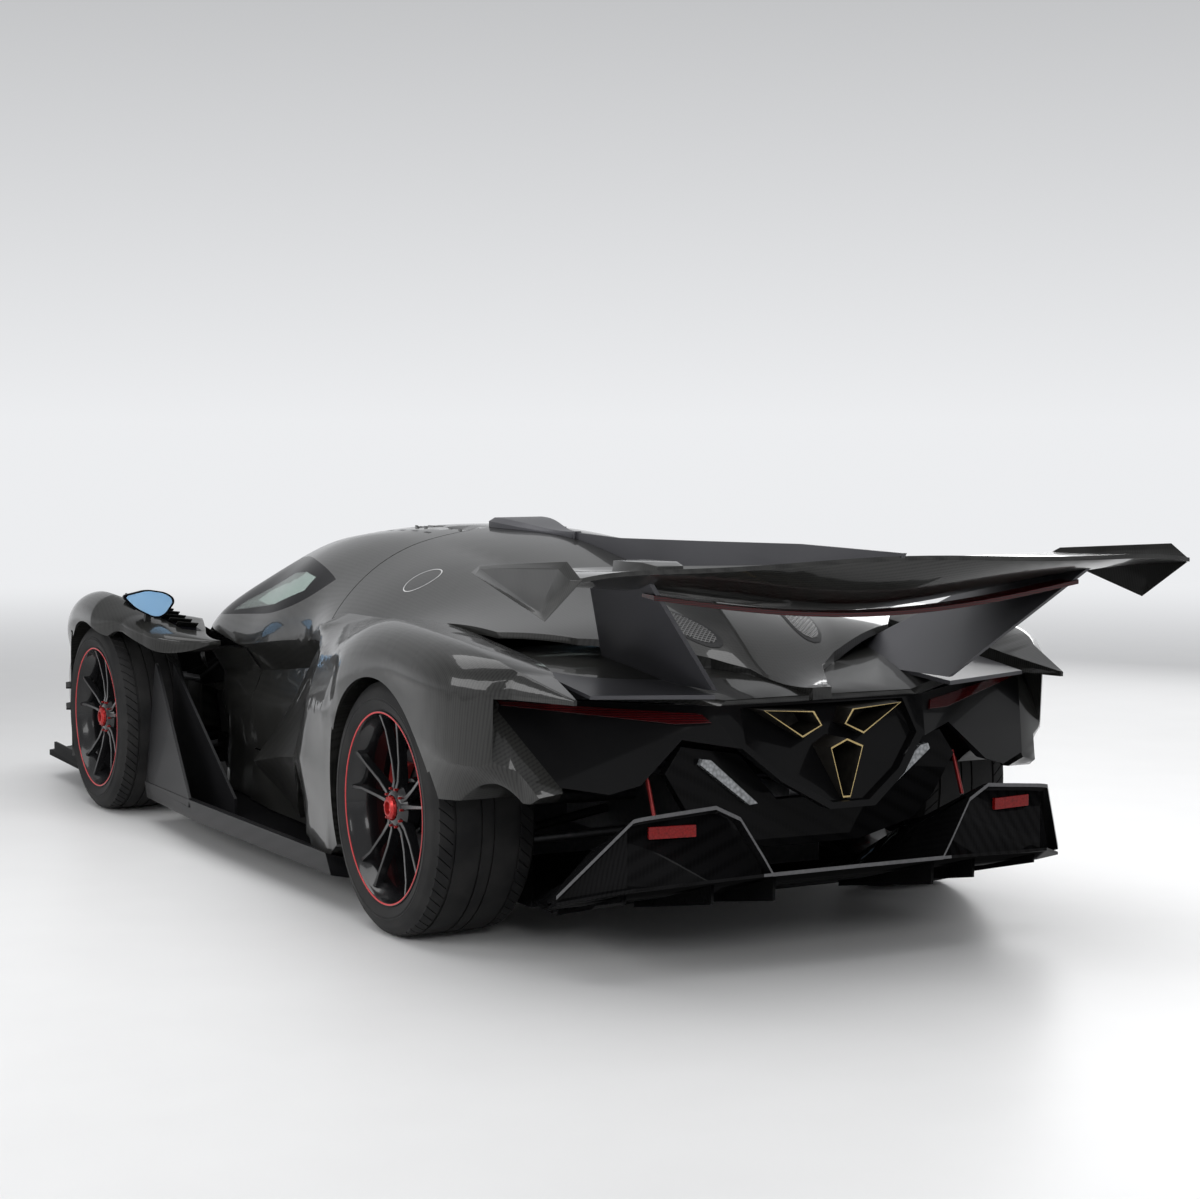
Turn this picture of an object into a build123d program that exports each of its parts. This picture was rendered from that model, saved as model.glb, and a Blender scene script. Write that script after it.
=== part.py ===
"""Mid-engined two-seat hypercar with open-backed front fenders, gull-wing doors and a tall rear wing.

Frame: millimetres, +Z up, front towards -Y, the car's left side towards +X.
Origin: on the ground, midway between the axles on the centre plane.
Each piece is a solid of its own, written to parts/NODE.step.
"""

from build123d import *
import os

# ---------------------------------------------------------------- driving dimensions
LENGTH = 5066.0
WIDTH = 1995.0
WHEELBASE = 2700.0
GROUND_CLEARANCE = 92.0
FLOOR_THICK = 18.0
CANOPY_WALL = 34.0
PANEL_GAP = 5.4            # shut line of a panel that opens
SEAT_GAP = 0.3             # clearance of a seated piece
GLASS_INSET = 0.3

FRONT_TYRE_RADIUS = 347.0
FRONT_TYRE_WIDTH = 265.0
FRONT_RIM_RADIUS = 262.0
REAR_TYRE_RADIUS = 364.0
REAR_TYRE_WIDTH = 325.0
REAR_RIM_RADIUS = 276.0
FRONT_TYRE_FACE = 962.0    # outer side wall from the centre plane
REAR_TYRE_FACE = 965.0

NOSE_Y = -LENGTH / 2
TAIL_Y = LENGTH / 2
FRONT_AXLE = -WHEELBASE / 2
REAR_AXLE = WHEELBASE / 2
HALF_WIDTH = WIDTH / 2
FLOOR_TOP = GROUND_CLEARANCE + FLOOR_THICK


# ---------------------------------------------------------------- making shapes
def at_y(u, v, s):
    """Section plane across the car: u is x, v is z."""
    return (u, s, v)


def at_x(u, v, s):
    """Section plane along the car: u is y, v is z."""
    return (s, u, v)


def at_z(u, v, s):
    """Level section plane: u is x, v is y."""
    return (u, v, s)


def ring(points, place, station):
    """A closed outline. A point with a third entry is the middle of an arc between its neighbours."""
    edges = []
    count = len(points)
    start = next(i for i, p in enumerate(points) if len(p) == 2)
    i = 0
    while i < count:
        a = points[(start + i) % count]
        b = points[(start + i + 1) % count]
        if len(b) == 3:
            c = points[(start + i + 2) % count]
            edges.append(ThreePointArc(place(a[0], a[1], station), place(b[0], b[1], station),
                                       place(c[0], c[1], station)))
            i += 2
        else:
            edges.append(Line(place(a[0], a[1], station), place(b[0], b[1], station)))
            i += 1
    return Wire(edges)


def skin(sections, place, ruled=False):
    """A solid through closed outlines: sections is [(station, points), ...]."""
    return Solid.make_loft([ring(points, place, s) for s, points in sections], ruled)


def slab(points, place, low, high):
    """A flat plate: the outline drawn at low and carried to high."""
    wire = ring(points, place, low)
    way = Vector(*place(0, 0, high)) - Vector(*place(0, 0, low))
    return Solid.extrude(Face(wire), way)


def block(x0, x1, y0, y1, z0, z1):
    return Solid.make_box(x1 - x0, y1 - y0, z1 - z0).moved(Location((x0, y0, z0)))


def rod(start, end, radius):
    """A round bar from start to end."""
    a, b = Vector(*start), Vector(*end)
    return Solid.make_cylinder(radius, (b - a).length, Plane(origin=a, z_dir=b - a))


def other_side(shape):
    return shape.mirror(Plane.YZ)


def whole(shape):
    """The result of a cut or a join as its solids, the largest first."""
    pieces = shape if isinstance(shape, list) else [shape]
    return sorted((s for piece in pieces for s in piece.solids()), key=lambda s: -s.volume)


def join(first, *rest):
    """One solid from pieces that touch or cross."""
    return whole(first.fuse(*rest).clean())[0]


def cut(shape, *tools):
    """The largest solid left after the tools are taken away."""
    return whole(shape.cut(*tools))[0]


def common(shape, tool):
    """The largest solid that the two share."""
    return whole(shape.intersect(tool))[0]


def save(name, *solids):
    made = [s for item in solids for s in item.solids()]
    export_step(made[0] if len(made) == 1 else Compound(made), f"parts/{name}.step")


os.makedirs("parts", exist_ok=True)

# ---------------------------------------------------------------- hull: canopy, flanks and engine cover
# One skin runs from the windscreen's foot over the roof and the engine to the tail's tip.
CANOPY_FOOT = -1340.0
SHUT_LINE = 300.0          # rear edge of the doors
HULL_END = 2180.0
HULL_LOW = 290.0
# station y; foot x; ledge x z; hollow x z; crease x z; side-arc x z; shoulder x z; crown z
HULL = [
    (CANOPY_FOOT, 500, 520, 400, 540, 480, 560, 560, 520, 622, 400, 655, 668),
    (-1150, 520, 540, 400, 560, 500, 600, 600, 545, 712, 410, 770, 790),
    (-900, 560, 590, 440, 575, 540, 632, 640, 575, 775, 420, 873, 906),
    (-600, 610, 625, 460, 580, 570, 645, 665, 560, 835, 360, 997, 1028),
    (-300, 640, 640, 480, 578, 600, 640, 700, 567, 895, 335, 1055, 1084),
    (0, 650, 650, 520, 590, 640, 632, 726, 572, 915, 335, 1074, 1102),
    (SHUT_LINE, 650, 655, 560, 650, 690, 712, 748, 612, 900, 330, 1066, 1106),
    (700, 640, 660, 560, 690, 700, 735, 790, 602, 922, 330, 1030, 1080),
    (1100, 600, 640, 560, 700, 740, 745, 832, 585, 908, 320, 975, 1018),
    (1500, 600, 640, 560, 700, 760, 740, 848, 560, 882, 300, 917, 945),
    (1850, 500, 520, 500, 540, 700, 560, 796, 420, 806, 210, 822, 841),
    (HULL_END, 300, 310, 450, 320, 600, 330, 690, 230, 704, 120, 722, 736),
]


def hull_section(row, inset, low):
    """Cross-section of the hull, drawn in by inset."""
    (foot_x, ledge_x, ledge_z, hollow_x, hollow_z, crease_x, crease_z,
     side_x, side_z, shoulder_x, shoulder_z, crown_z) = row
    half = [(foot_x - inset * 1.6, low), (ledge_x - inset * 1.6, ledge_z), (hollow_x - inset, hollow_z),
            (crease_x - inset, crease_z - inset * 0.3),
            (side_x - inset * 0.85, side_z - inset * 0.5, 0),
            (shoulder_x - inset * 0.35, shoulder_z - inset)]
    back = [(-p[0],) + p[1:] for p in reversed(half)]
    return half + [(0, crown_z - inset, 0)] + back


def hull_skin(inset, low=HULL_LOW):
    return skin([(row[0], hull_section(row[1:], inset, low)) for row in HULL], at_y)


GLASS_THICK = 9.0
hull_outer = hull_skin(0)
hull_inner = hull_skin(CANOPY_WALL, HULL_LOW - 20)
glass_outer = hull_skin(GLASS_INSET, HULL_LOW - 10)
glass_inner = hull_skin(GLASS_THICK, HULL_LOW - 20)
hull_wall = cut(hull_outer, hull_inner)
glass_wall = cut(glass_outer, glass_inner)

# Plan lines, left half
HEADER_Y = -640.0          # rear edge of the windscreen
SPINE_HALF = 175.0         # half-width of the fixed roof strip between the doors
FRAME_FOOT = 585.0         # outer edge of the windscreen frame at its foot
FRAME_TOP = 352.0
FRAME_FOOT_Y = -1235.0
SCREEN_FOOT = 520.0        # outer edge of the windscreen at its foot
SCREEN_TOP = 300.0
SCREEN_FOOT_Y = -1310.0
DOOR_FRONT = -580.0        # front edge of the door below the belt
BELT_Z = 655.0             # sill of the fixed body ahead of the door
ROOF_TOP = 1300.0          # above every body panel

screen_plan = [(-SCREEN_FOOT, SCREEN_FOOT_Y), (SCREEN_FOOT, SCREEN_FOOT_Y),
               (SCREEN_TOP, HEADER_Y), (-SCREEN_TOP, HEADER_Y)]
frame_half = [(FRAME_FOOT + 60, CANOPY_FOOT - 5), (FRAME_FOOT, FRAME_FOOT_Y), (FRAME_TOP, HEADER_Y + 10),
              (SPINE_HALF, HEADER_Y + 10), (SPINE_HALF, SHUT_LINE)]
frame_plan = frame_half + [(-x, y) for x, y in reversed(frame_half)]
roof_frame = common(hull_wall, slab(frame_plan, at_z, 450, ROOF_TOP))
roof_frame = cut(roof_frame, slab(screen_plan, at_z, 300, ROOF_TOP))
g = GLASS_INSET
glass_plan = [(-SCREEN_FOOT + g, SCREEN_FOOT_Y + g), (SCREEN_FOOT - g, SCREEN_FOOT_Y + g),
              (SCREEN_TOP - g, HEADER_Y - g), (-SCREEN_TOP + g, HEADER_Y - g)]
windscreen = common(glass_wall, slab(glass_plan, at_z, 600, ROOF_TOP))
save("windscreen", windscreen)

# ---------------------------------------------------------------- doors
# Gull-wing doors: roof panel, window frame and flank in one, hinged beside the roof strip.
DOOR_LOW = 300.0
DIAGONAL_FOOT_Y = -350.0   # where the door's rear edge meets its lower edge
DIAGONAL_TOP_Z = 742.0
door_side = [(DOOR_FRONT, DOOR_LOW), (DIAGONAL_FOOT_Y, DOOR_LOW), (SHUT_LINE - PANEL_GAP, DIAGONAL_TOP_Z),
             (SHUT_LINE - PANEL_GAP, ROOF_TOP), (CANOPY_FOOT - 20, ROOF_TOP), (CANOPY_FOOT - 20, BELT_Z + 40),
             (-1060, BELT_Z + 40), (DOOR_FRONT, BELT_Z)]
PILLAR_GAP = PANEL_GAP * 1.08    # the same gap measured across the car at the slanting pillar
door_plan = [(FRAME_FOOT + 60 + PILLAR_GAP, CANOPY_FOOT), (FRAME_FOOT + PILLAR_GAP, FRAME_FOOT_Y),
             (FRAME_TOP + PILLAR_GAP, HEADER_Y + 10 + PANEL_GAP), (SPINE_HALF + PANEL_GAP, HEADER_Y + 10 + PANEL_GAP),
             (SPINE_HALF + PANEL_GAP, SHUT_LINE), (HALF_WIDTH, SHUT_LINE), (HALF_WIDTH, CANOPY_FOOT)]
window_side = [(-1030, 742), (-830, 856, 0), (-600, 968), (-250, 975, 0), (70, 930), (-150, 845, 0), (-520, 778)]
door_zone = slab(door_side, at_x, 100, HALF_WIDTH)
door_wall = common(common(hull_wall, slab(door_plan, at_z, HULL_LOW, ROOF_TOP)), door_zone)
window_cut = slab(window_side, at_x, 250, HALF_WIDTH)
door_left = cut(door_wall, window_cut)
side_glass = whole(glass_wall.intersect(window_cut))
side_glass = [s for s in side_glass if s.center().X > 0][0]
side_glass = cut(side_glass, roof_frame)

# Hinges: on each side two barrels of the roof strip turn between lugs of the door
HINGE_X = SPINE_HALF + PANEL_GAP / 2
HINGE_Z = 1098.5
HINGE_RADIUS = 6.5
HINGE_Y = (-60.0, 215.0)
BARREL_HALF = 25.0
LUG_LENGTH = 22.0


def hinge_rod(y0, y1, radius):
    return rod((HINGE_X, y0, HINGE_Z), (HINGE_X, y1, HINGE_Z), radius)


for hinge_y in HINGE_Y:
    barrel = hinge_rod(hinge_y - BARREL_HALF, hinge_y + BARREL_HALF, HINGE_RADIUS)
    leaf = block(HINGE_X - 20, HINGE_X, hinge_y - BARREL_HALF, hinge_y + BARREL_HALF, HINGE_Z - 14, HINGE_Z - 2)
    door_left = cut(door_left, hinge_rod(hinge_y - BARREL_HALF - 0.3, hinge_y + BARREL_HALF + 0.3, HINGE_RADIUS + 0.3))
    lugs = []
    for way in (-1, 1):
        near = hinge_y + way * (BARREL_HALF + 0.3)
        far = hinge_y + way * (BARREL_HALF + LUG_LENGTH)
        y0, y1 = min(near, far), max(near, far)
        room = hinge_rod(y0 - 0.3, y1 + 0.3, HINGE_RADIUS + 0.3)
        barrel_body = join(barrel, leaf)
        roof_frame = cut(roof_frame, room, other_side(room))
        lugs.append(hinge_rod(y0, y1, HINGE_RADIUS))
        lugs.append(block(HINGE_X, HINGE_X + 20, y0, y1, HINGE_Z - 14, HINGE_Z - 2))
    roof_frame = join(roof_frame, barrel_body, other_side(barrel_body))
    door_left = join(door_left, *lugs)
save("roof_frame", roof_frame)
save("door_left", door_left)
save("door_right", other_side(door_left))
save("door_glass_left", side_glass)
save("door_glass_right", other_side(side_glass))

# ---------------------------------------------------------------- engine cover
# Plan outline of the cover, left half, from the shut line back to the tip
COVER_EDGE = [(672, SHUT_LINE), (688, 700), (690, 1100), (669, 1500), (520, 1700), (203, 1890), (118, 1960),
              (30, 2140)]
COVER_LOW = 660.0
cover_plan = COVER_EDGE + [(-x, y) for x, y in reversed(COVER_EDGE)]
engine_cover = common(hull_wall, slab(cover_plan, at_z, COVER_LOW, ROOF_TOP))
save("engine_cover", engine_cover)

# ---------------------------------------------------------------- wheel wells
# Room for each wheel: a wide drum for the tyre and a closer ring at the body's lip.
FRONT_WELL_RADIUS = 403.0
FRONT_LIP_RADIUS = 362.0
REAR_WELL_RADIUS = 386.0
REAR_LIP_RADIUS = 373.0
LIP_INNER = 974.0          # the lip lies outboard of this
WELL_OUTER = 1040.0
FRONT_WELL_INNER = 545.0
REAR_WELL_INNER = 622.0


def wheel_well(axle_y, tyre_radius, inner, radius, lip_radius):
    drum = rod((inner, axle_y, tyre_radius), (LIP_INNER, axle_y, tyre_radius), radius)
    lip = rod((LIP_INNER - 1, axle_y, tyre_radius), (WELL_OUTER, axle_y, tyre_radius), lip_radius)
    return drum.fuse(lip)


front_well = wheel_well(FRONT_AXLE, FRONT_TYRE_RADIUS, FRONT_WELL_INNER, FRONT_WELL_RADIUS, FRONT_LIP_RADIUS)
rear_well = wheel_well(REAR_AXLE, REAR_TYRE_RADIUS, REAR_WELL_INNER, REAR_WELL_RADIUS, REAR_LIP_RADIUS)

# ---------------------------------------------------------------- rear fenders
# One moulding from the leg beside the door, over the wheel, to the pointed tip above the tail lamp.
# station y; inner x, low z, low x; crease x z; side x z; shoulder-arc x z; crest x z; inner top z
FENDER_TIP_Y = 2186.0
REAR_FENDER = [
    (DIAGONAL_FOOT_Y, 672, 262, 690, 705, 285, 700, 292, 694, 300, 686, 304, 305),
    (0, 672, 200, 720, 765, 340, 735, 420, 715, 480, 690, 530, 545),
    (SHUT_LINE, 672, 180, 790, 815, 378, 765, 560, 735, 680, 700, 775, 810),
    (665, 686, 175, 900, 938, 426, 915, 600, 860, 755, 722, 838, 850),
    (926, 690, 170, 945, 958, 468, 968, 600, 905, 795, 760, 866, 862),
    (1200, 690, 300, 960, 988, 600, 988, 720, 950, 830, 840, 884, 868),
    (1500, 690, 300, 960, 990, 640, 990, 745, 968, 835, 862, 874, 842),
    (1800, 700, 440, 930, 975, 560, 984, 742, 955, 815, 872, 848, 810),
    (1980, 735, 440, 820, 850, 560, 864, 727, 862, 765, 842, 800, 780),
    (FENDER_TIP_Y, 778, 560, 782, 784, 620, 787, 738, 787, 740, 785, 742, 742),
]


def fender_section(row):
    (in_x, low_z, low_x, crease_x, crease_z, side_x, side_z,
     shoulder_x, shoulder_z, crest_x, crest_z, in_z) = row
    return [(in_x, low_z), (low_x, low_z), (crease_x, crease_z), (side_x, side_z),
            (shoulder_x, shoulder_z, 0), (crest_x, crest_z), (in_x, in_z)]


# The tail's rear face: swept forward at its sides and leaning forward at its top
REAR_FACE_Y = REAR_AXLE + 786.0   # rear face on the centre plane at TAIL_Z
TAIL_Z = 700.0
TAIL_LEAN = 0.567          # run rearwards for each millimetre down
TAIL_FLAT = 300.0          # half-width of the straight middle
TAIL_SWEEP = 0.456         # run forwards for each millimetre outwards
TAIL_HALF = 900.0


def tail_block(front, rear, low, high, half=TAIL_HALF):
    """A slab that follows the tail's rear face, from front to rear behind it."""
    def outline(z):
        y = REAR_FACE_Y + TAIL_LEAN * (TAIL_Z - z)
        side = y - TAIL_SWEEP * (half - TAIL_FLAT)
        return [(-half, side + rear), (-TAIL_FLAT, y + rear), (TAIL_FLAT, y + rear), (half, side + rear),
                (half, side + front), (TAIL_FLAT, y + front), (-TAIL_FLAT, y + front), (-half, side + front)]
    return skin([(low, outline(low)), (high, outline(high))], at_z, ruled=True)


TIP_UNDERSIDE = 728.0      # underside of the pointed tip above the tail lamp
LEG_ROWS = 3               # the first rows make the straight-sided leg
TIP_ROWS = 2               # the last rows make the straight-sided tip


def fender_run(rows, ruled):
    return skin([(row[0], fender_section(row[1:])) for row in rows], at_y, ruled)


rear_fender = join(fender_run(REAR_FENDER[:LEG_ROWS], True),
                   fender_run(REAR_FENDER[LEG_ROWS - 1:1 - TIP_ROWS], False),
                   fender_run(REAR_FENDER[-TIP_ROWS:], True))
rear_fender = cut(rear_fender, rear_well)
rear_fender = cut(rear_fender, tail_block(0, 500, 380, TIP_UNDERSIDE))
cutaway = [(1700, 300), (2300, 300), (2300, 470), (2010, 452), (1700, 440)]
rear_fender = cut(rear_fender, slab(cutaway, at_x, 600, WELL_OUTER))
door_room = [(-700, DOOR_LOW - PANEL_GAP * 1.2), (DIAGONAL_FOOT_Y, DOOR_LOW - PANEL_GAP * 1.2),
             (SHUT_LINE, DIAGONAL_TOP_Z - 3), (SHUT_LINE, ROOF_TOP), (-700, ROOF_TOP)]
rear_fender = cut(rear_fender, slab(door_room, at_x, 0, 760))
rear_fender = cut(rear_fender, engine_cover)

# ---------------------------------------------------------------- front fenders
FENDER_LOW = 150.3         # underside of the fender's nose, above the splitter's fence
# station y; inner x, low z; outer x; side z; shoulder-arc x z; crest x z; inner top z
FRONT_FENDER = [
    (-2440, 640, 330, 790, 400, 780, 425, 730, 436, 420),
    (-2200, 600, 130, 865, 470, 850, 560, 790, 596, 540),
    (-1800, 580, 130, 945, 590, 935, 700, 855, 744, 640),
    (FRONT_AXLE, 590, 560, 993, 688, 978, 775, 905, 816, 700),
    (-1000, 662, 600, 985, 668, 965, 745, 880, 776, 700),
    (-600, 664, 612, 705, 628, 703, 640, 690, 652, 650),
]


def front_fender_section(row):
    in_x, low_z, out_x, side_z, shoulder_x, shoulder_z, crest_x, crest_z, in_z = row
    return [(in_x, low_z), (out_x, low_z), (out_x, side_z), (shoulder_x, shoulder_z, 0),
            (crest_x, crest_z), (in_x, in_z)]


front_fender = skin([(row[0], front_fender_section(row[1:])) for row in FRONT_FENDER], at_y)
front_fender = cut(front_fender, front_well)
front_fender = cut(front_fender, block(0, HALF_WIDTH, NOSE_Y, 0, 0, FENDER_LOW))
# Slanted headlamps let into the fenders' tops, flush with them
LAMP_DEEP = 22.0
LAMP_PLAN = [(672, -2420), (752, -2396), (846, -2190), (840, -2130), (800, -2190), (704, -2330)]
headlamp = common(front_fender, slab(LAMP_PLAN, at_z, 300, 700))
headlamp = cut(headlamp, front_fender.moved(Location((0, 0, -LAMP_DEEP))))
lamp_room = [(667, -2425), (755, -2400), (851, -2191), (843, -2124), (797, -2187), (700, -2328)]
lamp_room = common(front_fender, slab(lamp_room, at_z, 300, 700))
lamp_room = cut(lamp_room, front_fender.moved(Location((0, 0, -LAMP_DEEP - SEAT_GAP))))
front_fender = cut(front_fender, lamp_room)
save("headlamps", headlamp, other_side(headlamp))
save("front_fender_left", front_fender)
save("front_fender_right", other_side(front_fender))

# ---------------------------------------------------------------- nose
# station y; half-width; low z; side z; shoulder x z; crown z
NOSE = [
    (NOSE_Y + 45, 250, 300, 330, 150, 372, 380),
    (-2300, 330, 240, 400, 210, 470, 486),
    (-1900, 420, 240, 510, 300, 588, 606),
    (CANOPY_FOOT - SEAT_GAP, 540, 290, 560, 400, 655, 668),
]


def nose_section(row):
    half, low, side_z, shoulder_x, shoulder_z, crown_z = row
    left = [(half, low), (half, side_z), (shoulder_x, shoulder_z)]
    return left + [(0, crown_z, 0)] + [(-x, z) for x, z in reversed(left)]


nose = skin([(row[0], nose_section(row[1:])) for row in NOSE], at_y)
save("nose", nose)

# ---------------------------------------------------------------- tub, floor and splitter
# The carbon tub: floor pan, hollow sills, front and rear bulkheads around an open cabin.
TUB_FRONT = -1180.0
TUB_BACK = 290.0
SILL_OUTER = 590.0
SILL_INNER = 480.0
SILL_TOP = 285.0
TUB_NARROW = -930.0        # the tub is narrower ahead of this, clear of the steered tyres
BULKHEAD = 50.0
TUNNEL_HALF = 90.0
FLOOR_FRONT_HALF = 535.0   # between the front wheels
FLOOR_REAR_HALF = 615.0    # between the rear wheels
FLOOR_MID_HALF = 880.0
FLOOR_MID = 950.0          # half-length of the wide part between the wheels
DIFFUSER_START = 1600.0
SPLITTER_BACK = -1760.0

floor_half = [(FLOOR_FRONT_HALF, SPLITTER_BACK), (FLOOR_FRONT_HALF, -FLOOR_MID), (FLOOR_MID_HALF, -FLOOR_MID),
              (FLOOR_MID_HALF, FLOOR_MID), (FLOOR_REAR_HALF, FLOOR_MID), (FLOOR_REAR_HALF, DIFFUSER_START)]
floor = slab(floor_half + [(-x, y) for x, y in reversed(floor_half)], at_z, GROUND_CLEARANCE, FLOOR_TOP)
save("floor", floor)

BULKHEAD_TOP = 520.0
tub = block(-SILL_OUTER, SILL_OUTER, TUB_FRONT, TUB_BACK, FLOOR_TOP, SILL_TOP)
tub = cut(tub, block(-SILL_INNER, SILL_INNER, TUB_FRONT + BULKHEAD, TUB_BACK - BULKHEAD, FLOOR_TOP + 30, SILL_TOP + 10))
rear_wall = block(-SILL_INNER, SILL_INNER, TUB_BACK - BULKHEAD, TUB_BACK, SILL_TOP, 880)
front_wall = block(-SILL_INNER, SILL_INNER, TUB_FRONT, TUB_FRONT + BULKHEAD, SILL_TOP, 560)
tunnel = block(-TUNNEL_HALF, TUNNEL_HALF, TUB_FRONT + BULKHEAD, TUB_BACK - BULKHEAD, FLOOR_TOP + 30, 300)
for way in (-1, 1):
    tub = cut(tub, block(min(way * FLOOR_FRONT_HALF, way * 700), max(way * FLOOR_FRONT_HALF, way * 700),
                         TUB_FRONT - 1, TUB_NARROW, 0, SILL_TOP + 1))
tub = join(tub, rear_wall, front_wall, tunnel)
PEDAL_BOX_HALF = 350.0     # carries the front wishbones under the nose
PEDAL_BOX_FRONT = -1640.0
PEDAL_BOX_TOP = 480.0
pedal_box = block(-PEDAL_BOX_HALF, PEDAL_BOX_HALF, PEDAL_BOX_FRONT, TUB_FRONT + 1, FLOOR_TOP, PEDAL_BOX_TOP)
tub = cut(join(tub, pedal_box), nose)
save("tub", tub)

SPLITTER_HALF = 900.0
splitter_half = [(180, NOSE_Y), (640, NOSE_Y + 60), (SPLITTER_HALF, NOSE_Y + 230), (SPLITTER_HALF, SPLITTER_BACK)]
splitter = slab([(-x, y) for x, y in reversed(splitter_half)] + splitter_half, at_z, GROUND_CLEARANCE - 4, FLOOR_TOP)
FENCE_HEIGHT = 150.0
fence = block(SPLITTER_HALF - 12, SPLITTER_HALF, NOSE_Y + 300, SPLITTER_BACK - 10, FLOOR_TOP, FENCE_HEIGHT)
splitter = join(splitter, fence, other_side(fence))
save("front_splitter", splitter)

# ---------------------------------------------------------------- wing
# station x; leading edge y z; underside-arc y z; trailing edge y, low z, top z; top-arc y z
WING_TIP = 945.0
WING = [
    (0, 1975, 1052, 2340, 968, 2512, 1094, 1106, 2260, 1020),
    (300, 1968, 1056, 2320, 984, 2506, 1086, 1098, 2255, 1030),
    (600, 1955, 1060, 2300, 1020, 2512, 1079, 1091, 2250, 1058),
    (WING_TIP, 1935, 1062, 2280, 1050, 2530, 1067, 1078, 2250, 1072),
]


def wing_section(row):
    lead_y, lead_z, low_y, low_z, trail_y, trail_low, trail_top, top_y, top_z = row
    return [(lead_y, lead_z - 6), (low_y, low_z, 0), (trail_y, trail_low), (trail_y, trail_top),
            (top_y, top_z, 0), (lead_y, lead_z + 6)]


span = [(-row[0], wing_section(row[1:])) for row in reversed(WING)][:-1]
span += [(row[0], wing_section(row[1:])) for row in WING]
wing = skin(span, at_x)
POD_ROWS = [(2040, 30, 12), (2070, 56, 26), (2230, 60, 28), (2285, 44, 20)]   # station y; half-width; height
POD_X = 560.0
pod = skin([(y, [(POD_X - half, 1030), (POD_X + half, 1030), (POD_X + half * 0.86, 1064 + high),
                 (POD_X - half * 0.86, 1064 + high)]) for y, half, high in POD_ROWS], at_y, ruled=True)
wing = join(wing, pod)
save("rear_wing", wing)

PLATE_THICK = 12.0
plate_side = [(1909, 1060), (2334, 959), (TAIL_Y, 1072), (2454, 1115), (1966, 1082)]
plate_face = [(1960, 1056), (2326, 985), (2490, 1070), (2430, 1095), (1990, 1074)]
plate = skin([(WING_TIP + SEAT_GAP, plate_side), (WING_TIP + PLATE_THICK, plate_face)], at_x, ruled=True)
save("wing_endplates", plate, other_side(plate))

# Struts: plates that lean outwards from the deck to the wing, each with a foot along the deck
STRUT_THICK = 14.0
STRUT_FOOT_Z = 748.0
STRUT_HEAD_Z = 1012.0
STRUT_HEAD_X = 655.0
strut = skin([(STRUT_FOOT_Z, [(371, 1606), (385, 1606), (385, 2205), (371, 2205)]),
              (STRUT_HEAD_Z + 60, [(STRUT_HEAD_X + 50, 2130), (STRUT_HEAD_X + 64, 2130),
                                   (STRUT_HEAD_X + 64, 2430), (STRUT_HEAD_X + 50, 2430)])], at_z, ruled=True)
strut = whole(strut.cut(wing))
strut = min(strut, key=lambda s: s.center().Z)
shelf = skin([(378, [(1606, 765), (1606, 777), (2205, 737), (2205, 725)]),
              (700, [(1850, 765), (1850, 775), (2110, 742), (2110, 732)])], at_x, ruled=True)
strut = join(strut, shelf)
strut = cut(strut, engine_cover, rear_fender)
save("wing_struts", strut, other_side(strut))

# Slim light blade hung between the struts under the wing
blade_rows = [(-670, 1013), (-300, 963), (0, 948), (300, 963), (670, 1013)]
BLADE_FRONT = 2330.0
BLADE_BACK = 2395.0
blade = skin([(x, [(BLADE_FRONT, z), (BLADE_BACK, z - 6), (BLADE_BACK, z + 6), (BLADE_FRONT + 5, z + 9)])
              for x, z in blade_rows], at_x)
blade = cut(blade, strut, other_side(strut))
save("wing_light", blade)

# ---------------------------------------------------------------- roof scoop and fin
SCOOP_MOUTH_Y = 290.0
SCOOP_HALF = 108.0
FIN_HALF = 6.0
scoop_rows = [  # station y; half-width; low z; side z; top z
    (SCOOP_MOUTH_Y, SCOOP_HALF, 1040, 1122, 1134),
    (420, 92, 1040, 1112, 1126),
    (560, 50, 1040, 1098, 1108),
    (720, 14, 1030, 1094, 1102),
]
scoop = skin([(y, [(half, low), (half, side), (half * 0.8, top), (-half * 0.8, top), (-half, side), (-half, low)])
              for y, half, low, side, top in scoop_rows], at_y)
scoop = cut(scoop, hull_outer)
mouth = skin([(SCOOP_MOUTH_Y - 10, [(94, 1040), (94, 1114), (70, 1126), (-70, 1126), (-94, 1114), (-94, 1040)]),
              (480, [(40, 1040), (40, 1088), (30, 1092), (-30, 1092), (-40, 1088), (-40, 1040)])], at_y, ruled=True)
lifted_hull = hull_outer.moved(Location((0, 0, 8)))
scoop = cut(scoop, mouth.cut(lifted_hull))
save("roof_scoop", scoop)

FIN_TOP = [(640, 1100), (1000, 1092), (1487, 1103), (2026, 1117), (2523, 1114)]
FIN_UNDERSIDE = [(2512, 1100), (2340, 1000), (2100, 1018), (1978, 1052), (1900, 1000), (1420, 900), (640, 980)]
fin_side = FIN_TOP + FIN_UNDERSIDE
fin = slab(fin_side, at_x, -FIN_HALF, FIN_HALF)
fin = cut(fin, hull_outer)
fin = cut(fin, wing)
fin = cut(fin, scoop)
save("shark_fin", fin)

# ---------------------------------------------------------------- rear deck
DECK_HALF = 689.7
DECK_THICK = 12.0
deck_rows = [  # station y; edge z; crown z
    (1440, 806, 822),
    (1700, 792, 806),
    (1950, 745, 758),
    (2130, 706, 712),
]
deck = skin([(y, [(DECK_HALF, edge - DECK_THICK), (DECK_HALF, edge), (0, crown, 0), (-DECK_HALF, edge),
                  (-DECK_HALF, edge - DECK_THICK)]) for y, edge, crown in deck_rows], at_y)
deck = cut(deck, tail_block(-1, 600, 500, 900))
deck = cut(deck, strut, other_side(strut))
deck = cut(deck, engine_cover, rear_fender, other_side(rear_fender))
save("rear_deck", deck)

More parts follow.
